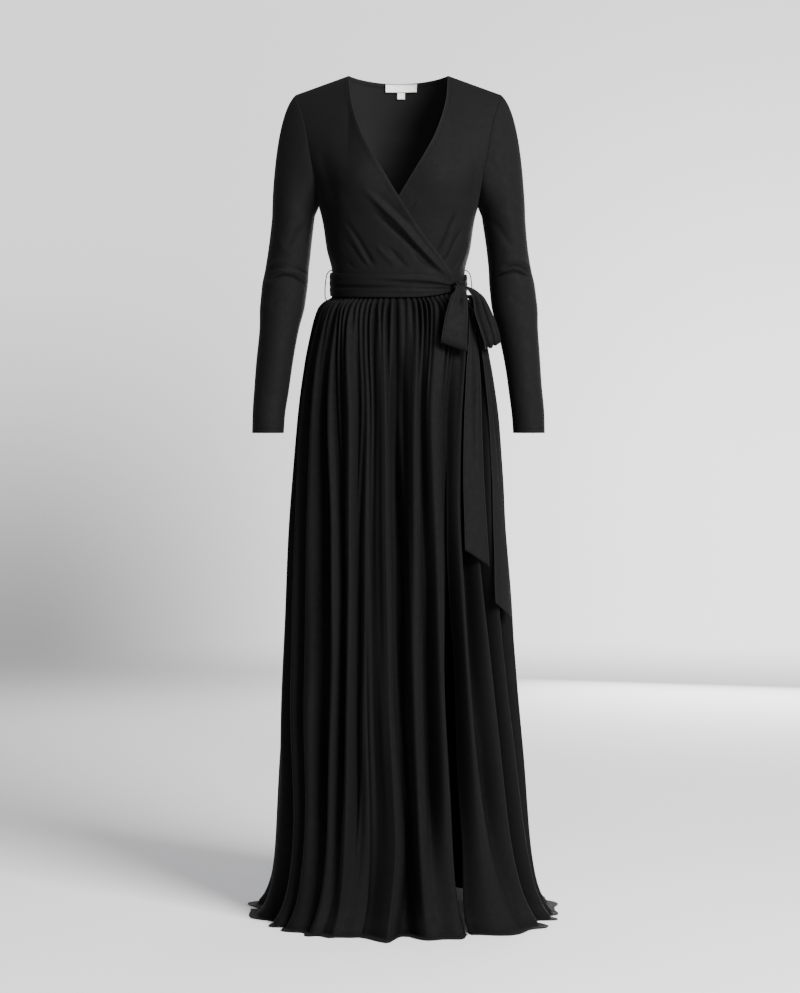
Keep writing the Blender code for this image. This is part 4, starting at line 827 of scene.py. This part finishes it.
def gather_relief(gather, height, seed):
    """Cosine of the gather count; each pleat's depth and the height where it ends are its own."""
    own = np.random.default_rng(seed)
    count = int(gather.max()) + 2
    strength = through(np.arange(count), own.uniform(0.25, 1.85, count), gather)
    length = through(np.arange(count), own.choice([45, 70, 110, 180, 300, 520], count), gather)
    lateral = through(np.arange(count), own.uniform(-0.36, 0.36, count), gather)
    below = BELT_BOTTOM - height
    opened = smooth(-2, 20, below)
    swell = opened * np.exp(-(np.maximum(below, 0) / length) ** 1.5)
    wave = ((1 - np.cos(2 * np.pi * (gather + lateral * smooth(-10, 60, below)))) / 2) ** 1.35
    near = at(SKIRT, "gather", np.maximum(height, BELOW_BELT)) * (1 - opened)
    out = (1 - 2 * wave) * (near + GATHER_HEIGHT * strength * swell)
    # the second result is the painted shade in each pleat's valley, full in the tight gathers at the seam
    return out, wave * (GATHER_SHADE * swell * strength + 1 - opened)


def fold_relief(folds, phase, height, seed):
    """Ridge height less a valley: (1 - cos 2 pi t) / 2, t bent so that 0.5 is at the valley's place."""
    own = np.random.default_rng(seed)
    ridge = np.interp(phase, folds[:, 0], folds[:, 7])
    fold = np.clip(np.searchsorted(np.ceil(folds[:, 0]), phase, side="right") - 1, 0, len(folds) - 2)
    t, place = phase - np.floor(phase), folds[fold, 10]
    t = np.where(t < place, 0.5 * t / place, 0.5 + 0.5 * (t - place) / (1 - place))
    valley = ((1 - np.cos(2 * np.pi * t)) / 2) ** 1.15
    depth = folds[fold, 11] + (folds[fold, 12] - folds[fold, 11]) * (1 - smooth(-1450, -1180, height))
    count = len(folds) + 1
    spots = np.floor(folds[0, 0]) + np.arange(count + 1)
    shift = through(spots, own.uniform(0, 6.28, count + 1), phase)
    swell = 1 + 0.2 * np.sin(height / 120 + shift) + 0.1 * np.sin(height / 47 + 2 * shift)
    ripple = np.cos(4 * np.pi * phase + shift) * 0.14 * np.sin(height / 150 + shift)
    ripple = ripple + np.cos(7.3 * np.pi * phase + 2 * shift) * 0.07 * np.sin(height / 210 + 3 * shift)
    out = at(SKIRT, "fold", height) * (ridge * swell + ripple * smooth(-1400, -1000, height))
    # painted shade in the valley, growing from a little below the waist downwards
    fold_shade = depth * valley * smooth(-420, -600, height)
    return out - at(SKIRT, "valley", height) * depth * valley * swell, fold_shade


# %% Draft the panels
PANEL_ROWS, CORNER_ROWS, FLOOR_ROWS = 126, 8, 9
HEM_CLOTH, CORNER_RADIUS = 1.6, 6.0


def panel_grid(folds, per_gather, seed):
    """Rings from the waist seam to the floor, a rounded corner, and the hem lying outwards."""
    folds = np.array(folds, dtype=float)
    phase, gather, total = [folds[:1, 0]], [np.zeros(1)], 0
    for here, after in zip(folds[:-1], folds[1:]):
        share = np.arange(1, per_gather * int(here[9]) + 1) / (per_gather * int(here[9]))
        phase.append(here[0] + (after[0] - here[0]) * share)
        gather.append(total + here[9] * share)
        total += here[9]
    phase, gather = np.concatenate(phase), np.concatenate(gather)
    t = np.linspace(0, 1, PANEL_ROWS) ** 1.45
    height = (SKIRT_TOP + (FLOOR + HEM_CLOTH - SKIRT_TOP) * t)[:, None]
    ridges = through(FOLD_HEIGHTS[::-1], folds[:, 1:7][:, ::-1], height[:, 0]).T
    angle = np.radians(through(folds[:, 0], ridges, phase))
    x, y, nx, ny = oval(angle, *(at(SKIRT, word, height) for word in ("half_width", "front", "back")))
    large, large_fold_shade = fold_relief(folds, phase, height, seed)
    fine, fine_fold_shade = gather_relief(gather, height, seed + 1)
    out = large + fine
    points = xyz(x + at(SKIRT, "sway", height) + nx * out, y + ny * out, height + waist_tilt(angle, height))
    kick = through(folds[:, 0], folds[:, 8], phase)
    plan = xyz(nx[-1], ny[-1], 0 * nx[-1])
    turn = np.linspace(0, np.pi / 2, CORNER_ROWS + 1)[1:, None, None]
    up = np.array([0, 0, 1.0])
    corner = points[-1] + plan * CORNER_RADIUS * (1 - np.cos(turn)) + up * CORNER_RADIUS * (1 - np.sin(turn))
    lifted = points.copy()
    lifted[..., 2] += CORNER_RADIUS * smooth(-1420, FLOOR, height)
    share = np.linspace(0, 1, FLOOR_ROWS + 1)[1:, None, None]
    curl = 1.2 * np.sin(phase * 2.3 + seed)[None, :, None] * share ** 2
    floor = corner[-1] + plan * kick[:, None] * share + up * np.maximum(curl, 0)
    points = np.concatenate([lifted, corner, floor])
    # painted shade: the darker of the large fold's and the fine pleat's
    fold_shade = np.maximum(large_fold_shade, fine_fold_shade)
    fold_shade = np.concatenate([fold_shade, np.repeat(fold_shade[-1:], CORNER_ROWS + FLOOR_ROWS, axis=0)])
    return points, torso_hint(points), fold_shade


# %% Make the panels
SLIT_TOP = -815.0
for name, folds, per_gather, seed, slit_column, flat, area in (
        ("skirt_front_right", RIGHT_PANEL, 10, 11, -1, (0.66, 1.13), 0.62),
        ("skirt_front_left", LEFT_PANEL, 12, 23, 0, (0.34, 1.13), 0.31),
        ("skirt_back", BACK_PANEL, 8, 37, None, (0.90, 1.13), 0.84)):
    points, hint, fold_shade = panel_grid(folds, per_gather, seed)
    edge = walk(points[::-1])[::-1]
    if slit_column is not None:
        slit = walk(points, 1)
        if slit_column:
            slit = slit[:, -1:] - slit
        edge = np.where(points[..., 2] < SLIT_TOP, np.minimum(edge, slit), edge)
    for column in (0, -1):
        if column != slit_column:
            points[:, column, 1] = 0
    piece = cloth(name + "_cloth", points, hint, [name], skirt_jersey_painted_darker, edge=edge, fold_shade=fold_shade)
    tell_area(piece, points)

# %% [markdown]
# ## The belt's band
# The belt is a long strip of the same jersey, folded double and pulled tight. Round the waist
# it lies in soft lengthways folds that squeeze together towards the knot on the wearer's
# left. The band is a closed ring of rows; its folds are troughs whose places across the band
# change round the waist.

# %% Draft and make the band
SASH = table("angle top bottom",
             (-180, -346, -388), (-90, -348, -389), (-30, -349, -390.5), (10, -349, -390.5), (30, -354, -387),
             (46, -363, -382), (62, -366, -381), (90, -351, -387), (180, -346, -388))
# the folds' places as shares of the band's height, and their depths, by angle
SASH_FOLDS = table("angle one two three deep_one deep_two deep_three",
                   (-180, 0.30, 0.60, 0.85, 0.5, 0.9, 0.4), (-120, 0.34, 0.64, 0.84, 0.8, 0.5, 0.5),
                   (-60, 0.30, 0.58, 0.84, 0.3, 1.2, 0.3), (-30, 0.28, 0.56, 0.80, 0.2, 1.5, 0.3),
                   (-8, 0.30, 0.58, 0.82, 0.9, 0.9, 0.4), (8, 0.36, 0.62, 0.84, 1.6, 0.5, 0.5),
                   (28, 0.40, 0.66, 0.84, 2.0, 0.9, 0.4), (44, 0.42, 0.66, 0.86, 1.6, 1.2, 0.5),
                   (62, 0.40, 0.62, 0.84, 1.4, 1.0, 0.6), (90, 0.32, 0.62, 0.86, 0.7, 0.9, 0.5),
                   (140, 0.36, 0.58, 0.86, 0.5, 0.8, 0.6), (180, 0.30, 0.60, 0.85, 0.5, 0.9, 0.4))
BELT_HALF_WIDTH, BELT_FRONT, BELT_BEHIND = 121.6, 96.6, 89.8
FOLD_WIDTH, SASH_RELIEF, SASH_FULL_SHADE, ROLL = 0.075, 1.5, 1.6, 1.6
turn = np.linspace(-180, 180, 361)[:-1][None]
share = np.linspace(0, 1, 42)[:, None]
angle = np.radians(turn)
top, bottom = at(SASH, "top", turn), at(SASH, "bottom", turn)
x, y, nx, ny = oval(angle, BELT_HALF_WIDTH, BELT_FRONT, BELT_BEHIND)
folded = 0
for word in ("one", "two", "three"):
    beside = (share - at(SASH_FOLDS, word, turn)) / FOLD_WIDTH
    folded = folded - at(SASH_FOLDS, "deep_" + word, turn) * np.exp(-beside ** 2)
out = 0.8 + folded * SASH_RELIEF - ROLL * np.abs(2 * share - 1) ** 4
z = top + (bottom - top) * share + waist_tilt(angle, BELT_BOTTOM)
band = xyz(x + nx * out, y + ny * out, z)
# the band's fold troughs also darken its colour as painted shade
piece = cloth("sash_band_cloth", band, torso_hint(band), ["sash_band"], belt_jersey_painted_darker, thickness=1.3,
              closed=True, fold_shade=-folded / SASH_FULL_SHADE)
tell_area(piece, joined(band))

# %% [markdown]
# ## The loops and tails of the bow
# The belt's ends are tied in a soft half bow: two loops hang down, and two tails run on over
# the skirt. Each is a strip carried along a path. The path's rows say how high it is, how far
# across and forward, how wide, and which way it faces. Near the knot the strip is squeezed,
# so pleats start there and fade down its length.

# %% Draft a hanging strip
def curve_through(rows, steps):
    """Catmull-Rom curve: each point is weighted by the cubic of its four nearest rows."""
    values = np.array(rows, dtype=float)
    spots = np.linspace(0, len(values) - 1, steps)
    i = np.minimum(spots.astype(int), len(values) - 2)
    t = (spots - i)[:, None]
    padded = np.concatenate([2 * values[:1] - values[1:2], values, 2 * values[-1:] - values[-2:-1]])
    p0, p1, p2, p3 = padded[i], padded[i + 1], padded[i + 2], padded[i + 3]
    return 0.5 * (2 * p1 + (p2 - p0) * t + (2 * p0 - 5 * p1 + 4 * p2 - p3) * t ** 2
                  + (3 * p1 - p0 - 3 * p2 + p3) * t ** 3)


def strip_grid(rows, steps, columns, pleats, seed):
    """A strip across its path; pleats are ridges across it with their own place, depth and length."""
    height, across, forward, width, face, tilt = curve_through(rows, steps).T
    face = np.radians(face)
    centre = xyz(across, -forward, height)
    lateral = xyz(np.cos(face), np.sin(face), 0 * face)
    normal = unit(np.cross(lateral, unit(np.gradient(centre, axis=0))))
    normal = normal * np.sign(normal[0, 0] * np.sin(face[0]) - normal[0, 1] * np.cos(face[0]))
    share = np.linspace(-1, 1, columns)[None]
    walked = walk(centre)[:, None]
    relief_out = 1.5 * np.minimum(width / 40, 1)[:, None] * (1 - share ** 2)
    fold_shade = np.zeros((steps, columns))
    for spot, drift, wide, depth, start, end in pleats:
        fade = smooth(start - 20, start, walked) * (1 - smooth(0.55 * end, end, walked))
        a = (share - spot - drift * walked / 100) * width[:, None] / 2 / wide
        fade = fade * np.minimum(width / 34, 1)[:, None] ** 2.5
        relief_out = relief_out + depth * fade * np.exp(-a * a)
        # a trough also darkens the colour as painted shade, a third for each millimetre of depth
        fold_shade = fold_shade - min(depth, 0) / 3 * fade * np.exp(-a * a)
    own = np.random.default_rng(seed)
    phase = own.uniform(0, 6.28, 2)
    relief_out = relief_out + 0.6 * np.sin(walked / 52 + phase[0]) * share
    relief_out = relief_out + 0.3 * np.sin(walked / 19 + phase[1]) * share ** 2
    points = (centre[:, None] + share[..., None] * (width / 2)[:, None, None] * lateral[:, None]
              + relief_out[..., None] * normal[:, None])
    points[..., 2] -= tilt[:, None] * share / 2
    edge = (1 - np.abs(share)) * (width / 2)[:, None]
    return points, np.broadcast_to(normal[:, None], points.shape), edge, fold_shade


# %% Make the loops and tails
# height, across, forward, width, direction it faces in degrees, and drop of its left edge
LOOP_FRONT = (
    (-377, 107, 94, 15, 36, 0), (-386, 107, 95, 22, 34, 0), (-397, 105.2, 100, 32, 26, 2),
    (-424, 101.4, 112, 39, 20, 6), (-452, 98.3, 119.5, 43, 17, 10), (-475, 96.2, 121, 46, 16, 13),
    (-484, 96, 116, 46.5, 17, 14), (-476, 97.5, 110.5, 45.5, 20, 12), (-453, 100, 104.5, 40, 27, 8),
    (-425, 103, 96.5, 33, 31, 4), (-402, 107, 85.5, 22, 36, 1), (-392, 109.5, 78, 13, 40, 0))
LOOP_BACK = (
    (-377, 117, 76, 13, 50, 0), (-381, 125, 76, 20, 50, 0), (-387, 132.5, 76, 25, 48, 0),
    (-398, 140.5, 77, 30, 45, -2), (-422, 147.5, 80, 39, 42, -6), (-450, 156.8, 82, 41, 44, -9),
    (-473, 163.5, 81, 40, 46, -12), (-482, 162.5, 76, 39, 46, -13), (-474, 159, 70, 37, 48, -12),
    (-450, 152, 66, 33, 50, -8), (-424, 143, 62, 26, 52, -4), (-402, 132, 57, 21, 52, -1),
    (-391, 121, 57, 17, 52, 0))
TAIL_FRONT = (
    (-392.5, 103.2, 62.1, 7, 45.6, 0), (-418, 122.8, 69.4, 10, 48.2, 0), (-470, 129.4, 82.2, 20, 43, 0),
    (-519, 130, 92.4, 30, 38.8, 0), (-600, 129.3, 106.7, 36, 31.7, 0),
    (-700, 129.6, 119.3, 41, 26.5, 2), (-848, 135.6, 133.8, 46, 24.7, 29))
TAIL_BACK = (
    (-392.5, 108.8, 55.8, 6, 51.3, 0), (-430, 134.9, 60.3, 14, 55.8, 0),
    (-520, 156.6, 62.8, 28, 58.4, 0), (-644, 169.5, 70.2, 36, 58.8, 0),
    (-799, 176.3, 86.6, 42, 55.5, 2), (-940, 182, 99.9, 46, 54.5, 29))
# pleats: place across (-1 to 1), drift in 100 mm, width, depth, where it starts and ends down the strip
FRONT_LOOP_PLEATS = (
    (-0.35, -0.1, 2.4, 1.8, 0, 60), (0.2, 0.1, 2.0, -1.8, 0, 46), (0.55, 0.1, 2.4, 1.6, 0, 70),
    (-0.7, -0.1, 3.0, 1.2, 10, 90), (0.1, 0.0, 6.0, -0.9, 30, 110))
BACK_LOOP_PLEATS = (
    (-0.62, 0.05, 3.0, -4.2, 0, 190), (-0.2, 0.1, 3.2, 3.2, 6, 150), (0.12, 0.05, 2.8, -4.4, 4, 180),
    (0.6, 0.0, 4.5, 2.4, 0, 120), (0.9, 0.0, 2.6, -1.2, 20, 110))
TAIL_PLEATS = (
    (-0.5, 0.02, 3.4, 2.0, 10, 300), (0.05, 0.03, 3.2, -2.2, 0, 380), (0.5, 0.0, 3.6, 2.2, 20, 260),
    (0.8, 0.0, 3.0, -1.2, 120, 420))
for name, rows, steps, columns, pleats, seed, flat in (
        ("sash_loop_front", LOOP_FRONT, 190, 41, FRONT_LOOP_PLEATS, 3, (0.06, 0.24)),
        ("sash_loop_back", LOOP_BACK, 190, 41, BACK_LOOP_PLEATS, 4, (0.055, 0.23)),
        ("sash_tail_front", TAIL_FRONT, 170, 37, TAIL_PLEATS, 5, (0.06, 0.48)),
        ("sash_tail_back", TAIL_BACK, 190, 37, TAIL_PLEATS, 6, (0.06, 0.57))):
    points, hint, edge, fold_shade = strip_grid(rows, steps, columns, pleats, seed)
    piece = cloth(name + "_cloth", points, hint, [name], belt_jersey_painted_darker, thickness=1.2, edge=edge, fold_shade=fold_shade)
    tell_area(piece, points)

# %% [markdown]
# ## The knot
# The knot is small and flat: the band's end wraps once over itself, and all pleats run into
# it at a slant. It is a rounded block whose surface is drawn in along slanting grooves.

# %% Draft and make the knot
def knot_grid(half, grooves, slant, depth):
    """A block with rounded powers of sine and cosine; grooves are a cosine across its slant."""
    lat = np.linspace(-0.5, 0.5, 61)[1:-1, None] * np.pi
    lon = (2 * np.pi * np.arange(96) / 96)[None]
    shrink = 1 - depth * (1 - np.abs(np.cos(grooves * (np.cos(lon) + slant * np.sin(lat)))))
    wide = power(np.cos(lat), 0.7) * power(np.cos(lon), 0.8) * half[0] * shrink
    deep = power(np.cos(lat), 0.7) * power(np.sin(lon), 0.8) * half[1] * shrink
    high = power(np.sin(lat), 0.8) * half[2] + 0 * lon
    return wide, deep, high


x, y, nx, ny = (float(v) for v in oval(np.radians(53.0), BELT_HALF_WIDTH, BELT_FRONT, BELT_BEHIND))
wide, deep, high = knot_grid((14.5, 8.0, 10.0), 5.2, 0.9, 0.24)
middle = np.array([x + nx * 9.0, y + ny * 9.0, -376.5])
knot = middle + xyz(-ny * wide + nx * deep, nx * wide + ny * deep, high)
piece = cloth("sash_knot_cloth", knot, knot - middle, ["sash_knot"], belt_jersey_painted_darker, thickness=0,
              closed=True, caps=True)
print(piece.name, knot.shape[:2])

# %% [markdown]
# ## Thread carriers and labels
# A crocheted thread chain at each side seam keeps the belt in place. It is a thin tube along
# a bowed path, and its surface swells in turn from side to side as a chain's stitches do.
# The white label is sewn inside the back of the neck, with a small size tab under it. Both
# are left bare.

# %% Make the carriers
CARRIER_PATH = (
    (118.0, -343.6), (121.4, -344.6), (124.6, -347.4), (127.6, -354), (129.6, -369), (130.2, -382),
    (129.6, -392), (125.5, -400))
path = curve_through(CARRIER_PATH, 90)
forward = unit(np.gradient(path, axis=0))
walked = walk(path)
round_it = 2 * np.pi * np.arange(14) / 14
radius = 0.9 * (1 + 0.22 * np.cos(2 * round_it[None] + 2 * np.pi * walked[:, None] / 2.4))
for side, word in ((-1, "right"), (1, "left")):
    middle = xyz(side * path[:, 0], 0, path[:, 1])
    out = xyz(-side * forward[:, 1], 0, forward[:, 0])
    offset = radius[..., None] * (np.cos(round_it)[None, :, None] * out[:, None]
                                  + np.sin(round_it)[None, :, None] * np.array([0, 1.0, 0]))
    piece = cloth("belt_carrier_thread_" + word, middle[:, None] + offset, offset,
                  ["belt_carrier_" + word], thread, thickness=0, closed=True, caps=True)
print("carriers are", round(walked[-1], 1), "mm long")


# %% Make the labels
LABEL_ACROSS, LABEL_DEPTH, LABEL_COLUMNS, LABEL_ROWS = 4.7, 2.9, 61, 25


def inside_back(width, height, top):
    """Points a little inside the back, level by level, and their outward normals."""
    x = LABEL_ACROSS + np.linspace(-width / 2, width / 2, LABEL_COLUMNS)[None]
    z = np.linspace(top, top - height, LABEL_ROWS)[:, None] + 0 * x
    x = x + 0 * z
    points = xyz(x, body_depth(body_angle(x, z), x, z, "back"), z)
    normals = grid_normals(points, np.array([0, 1.0, 0]) + 0 * points)
    return points - normals * LABEL_DEPTH, normals


def from_ends(count, length):
    """Distance of evenly spaced lines from the nearer of two ends."""
    return np.minimum(np.arange(count), count - 1 - np.arange(count)) * length / (count - 1)


for name, width, height, top in (("neck_label", 57, 13, -6.0), ("size_label", 14, 11, -19.3)):
    points, normals = inside_back(width, height, top)
    edge = np.minimum(from_ends(LABEL_COLUMNS, width), from_ends(LABEL_ROWS, height)[:, None])
    piece = cloth(name + "_tape", points, -normals, [name], tape, thickness=0.4, edge=edge)
    tell_area(piece, points)

# %% [markdown]
# ## Floor, light and camera
# The dress stands on a plain pale floor that fades into an even pale surrounding, so it can
# be seen from behind as well. The wall behind the dress is bright and the room in front is
# dark, so a matte black cloth keeps its shape. One large soft lamp stands in front on the
# right and leaves a broad shadow on the floor on the left, a weak one fills from the front,
# and another shows the back. The camera looks almost level, from a little over four metres.

# %% Floor that fades out
FLOOR_RADIUS, rings, spokes = 6.5, 40, 96
radii = FLOOR_RADIUS * np.linspace(0, 1, rings)[:, None] ** 1.3
around = (2 * np.pi * np.arange(spokes) / spokes)[None]
disc = xyz(radii * np.cos(around), radii * np.sin(around), FLOOR * MM)
ids = np.arange(rings * spokes).reshape(rings, spokes)
after = np.roll(ids, -1, 1)
quads = np.stack([ids[:-1], after[:-1], after[1:], ids[1:]], axis=-1).reshape(-1, 4)
mesh = bpy.data.meshes.new("floor")
mesh.from_pydata(disc.reshape(-1, 3).tolist(), [], quads[:, ::-1].tolist())
floor = bpy.data.objects.new("floor", mesh)
bpy.context.collection.objects.link(floor)
paper = bpy.data.materials.new("pale floor")
paper.use_nodes = True
tree = paper.node_tree
shader = tree.nodes["Principled BSDF"]
shader.inputs["Specular IOR Level"].default_value = 0.1
centre = tree.nodes.new("ShaderNodeTexCoord")
far = tree.nodes.new("ShaderNodeVectorMath")
far.operation = "LENGTH"
tree.links.new(centre.outputs["Object"], far.inputs[0])
tree.links.new(ramp(tree, far.outputs["Value"], 3.2, 6.2, 1.0, 0.0), shader.inputs["Alpha"])
patches = noise(tree, centre.outputs["Object"], 1.4, 2.0)
tree.links.new(ramp(tree, patches, 0.3, 0.7, 0.90, 1.0), shader.inputs["Roughness"])
shader.inputs["Base Color"].default_value = (0.61, 0.61, 0.625, 1.0)
mesh.materials.append(paper)

# %% Light
# brightness of the room in front, of the wall behind, and what the wall gains on the right and loses on the
# left: a painted patch of light and a painted shadow of the dress on the backdrop
ROOM, WALL_TOP, PAINTED_WALL_LIGHT, PAINTED_WALL_SHADOW = 0.16, 1.5, 1.15, 1.05
world = bpy.data.worlds.new("pale surrounding")
bpy.context.scene.world = world
world.use_nodes = True
tree = world.node_tree
direction = tree.nodes.new("ShaderNodeSeparateXYZ")
tree.links.new(tree.nodes.new("ShaderNodeTexCoord").outputs["Generated"], direction.inputs[0])
towards_x, towards_y, towards_z = (direction.outputs[word] for word in "XYZ")
wall = ramp(tree, towards_y, -0.1, 0.8, ROOM, WALL_TOP)
# painted patch of light on the right of the backdrop, lower down
right = ramp(tree, towards_z, 0.24, -0.02, 0.1, 1.0)
right = math(tree, "MULTIPLY", ramp(tree, towards_x, -0.10, 0.16), right)
# painted shadow of the dress on the left of the backdrop, near and below the horizon
left = math(tree, "MULTIPLY", ramp(tree, towards_x, 0.0, -0.16), ramp(tree, towards_z, 0.10, -0.09))
behind = ramp(tree, towards_y, 0.2, 0.7)
left = math(tree, "MULTIPLY", left, PAINTED_WALL_SHADOW)
change = math(tree, "SUBTRACT", math(tree, "MULTIPLY", right, PAINTED_WALL_LIGHT), left)
strength = math(tree, "ADD", wall, math(tree, "MULTIPLY", change, behind))
tree.links.new(strength, tree.nodes["Background"].inputs["Strength"])
tree.nodes["Background"].inputs["Color"].default_value = (0.985, 0.985, 1.0, 1.0)


def lamp(name, place, target, size, energy, colour):
    """A square area lamp at a place in metres that points at a target."""
    data = bpy.data.lights.new(name, "AREA")
    data.size, data.energy, data.color = size, energy, colour
    light = bpy.data.objects.new(name, data)
    light.location = place
    aim = np.array(target, dtype=float) - np.array(place, dtype=float)
    yaw, drop = np.arctan2(aim[1], aim[0]), np.arctan2(np.hypot(aim[0], aim[1]), -aim[2])
    light.rotation_euler = (drop, 0, yaw - np.pi / 2)
    bpy.context.collection.objects.link(light)


lamp("key", (2.4, -3.1, 1.5), (0, 0, -0.35), 1.9, 900, (1.0, 0.995, 0.99))
lamp("fill", (-0.1, -4.6, 0.3), (0, 0, -0.3), 1.2, 80, (0.98, 0.99, 1.0))
lamp("behind", (1.3, 3.9, -0.5), (0, 0, -0.6), 1.6, 150, (1.0, 1.0, 1.0))
print("lamps:", [light.name for light in bpy.data.lights])

# %% Camera
FIELD_OF_VIEW, LOOKING_DOWN = 23.97, 1.164
camera_data = bpy.data.cameras.new("camera")
camera = bpy.data.objects.new("camera", camera_data)
bpy.context.collection.objects.link(camera)
bpy.context.scene.camera = camera
camera.location = (0.0027, -4.15, -0.66)
camera.rotation_euler = (np.radians(90 - LOOKING_DOWN), 0, 0)
camera_data.sensor_fit = "VERTICAL"
camera_data.sensor_height = 24.0
camera_data.lens = 12.0 / np.tan(np.radians(FIELD_OF_VIEW / 2))
print("camera at", tuple(round(v, 4) for v in camera.location), "with a lens of", round(camera_data.lens, 1))

# %% [markdown]
# ## Counting the faces
# The dressed dress has to stay close to the imported model. The faces of each piece are
# counted, because a heavy mesh helps nobody.

# %% Count the faces and finish
print("quads before thickness:", made_faces, "in all", sum(made_faces.values()))
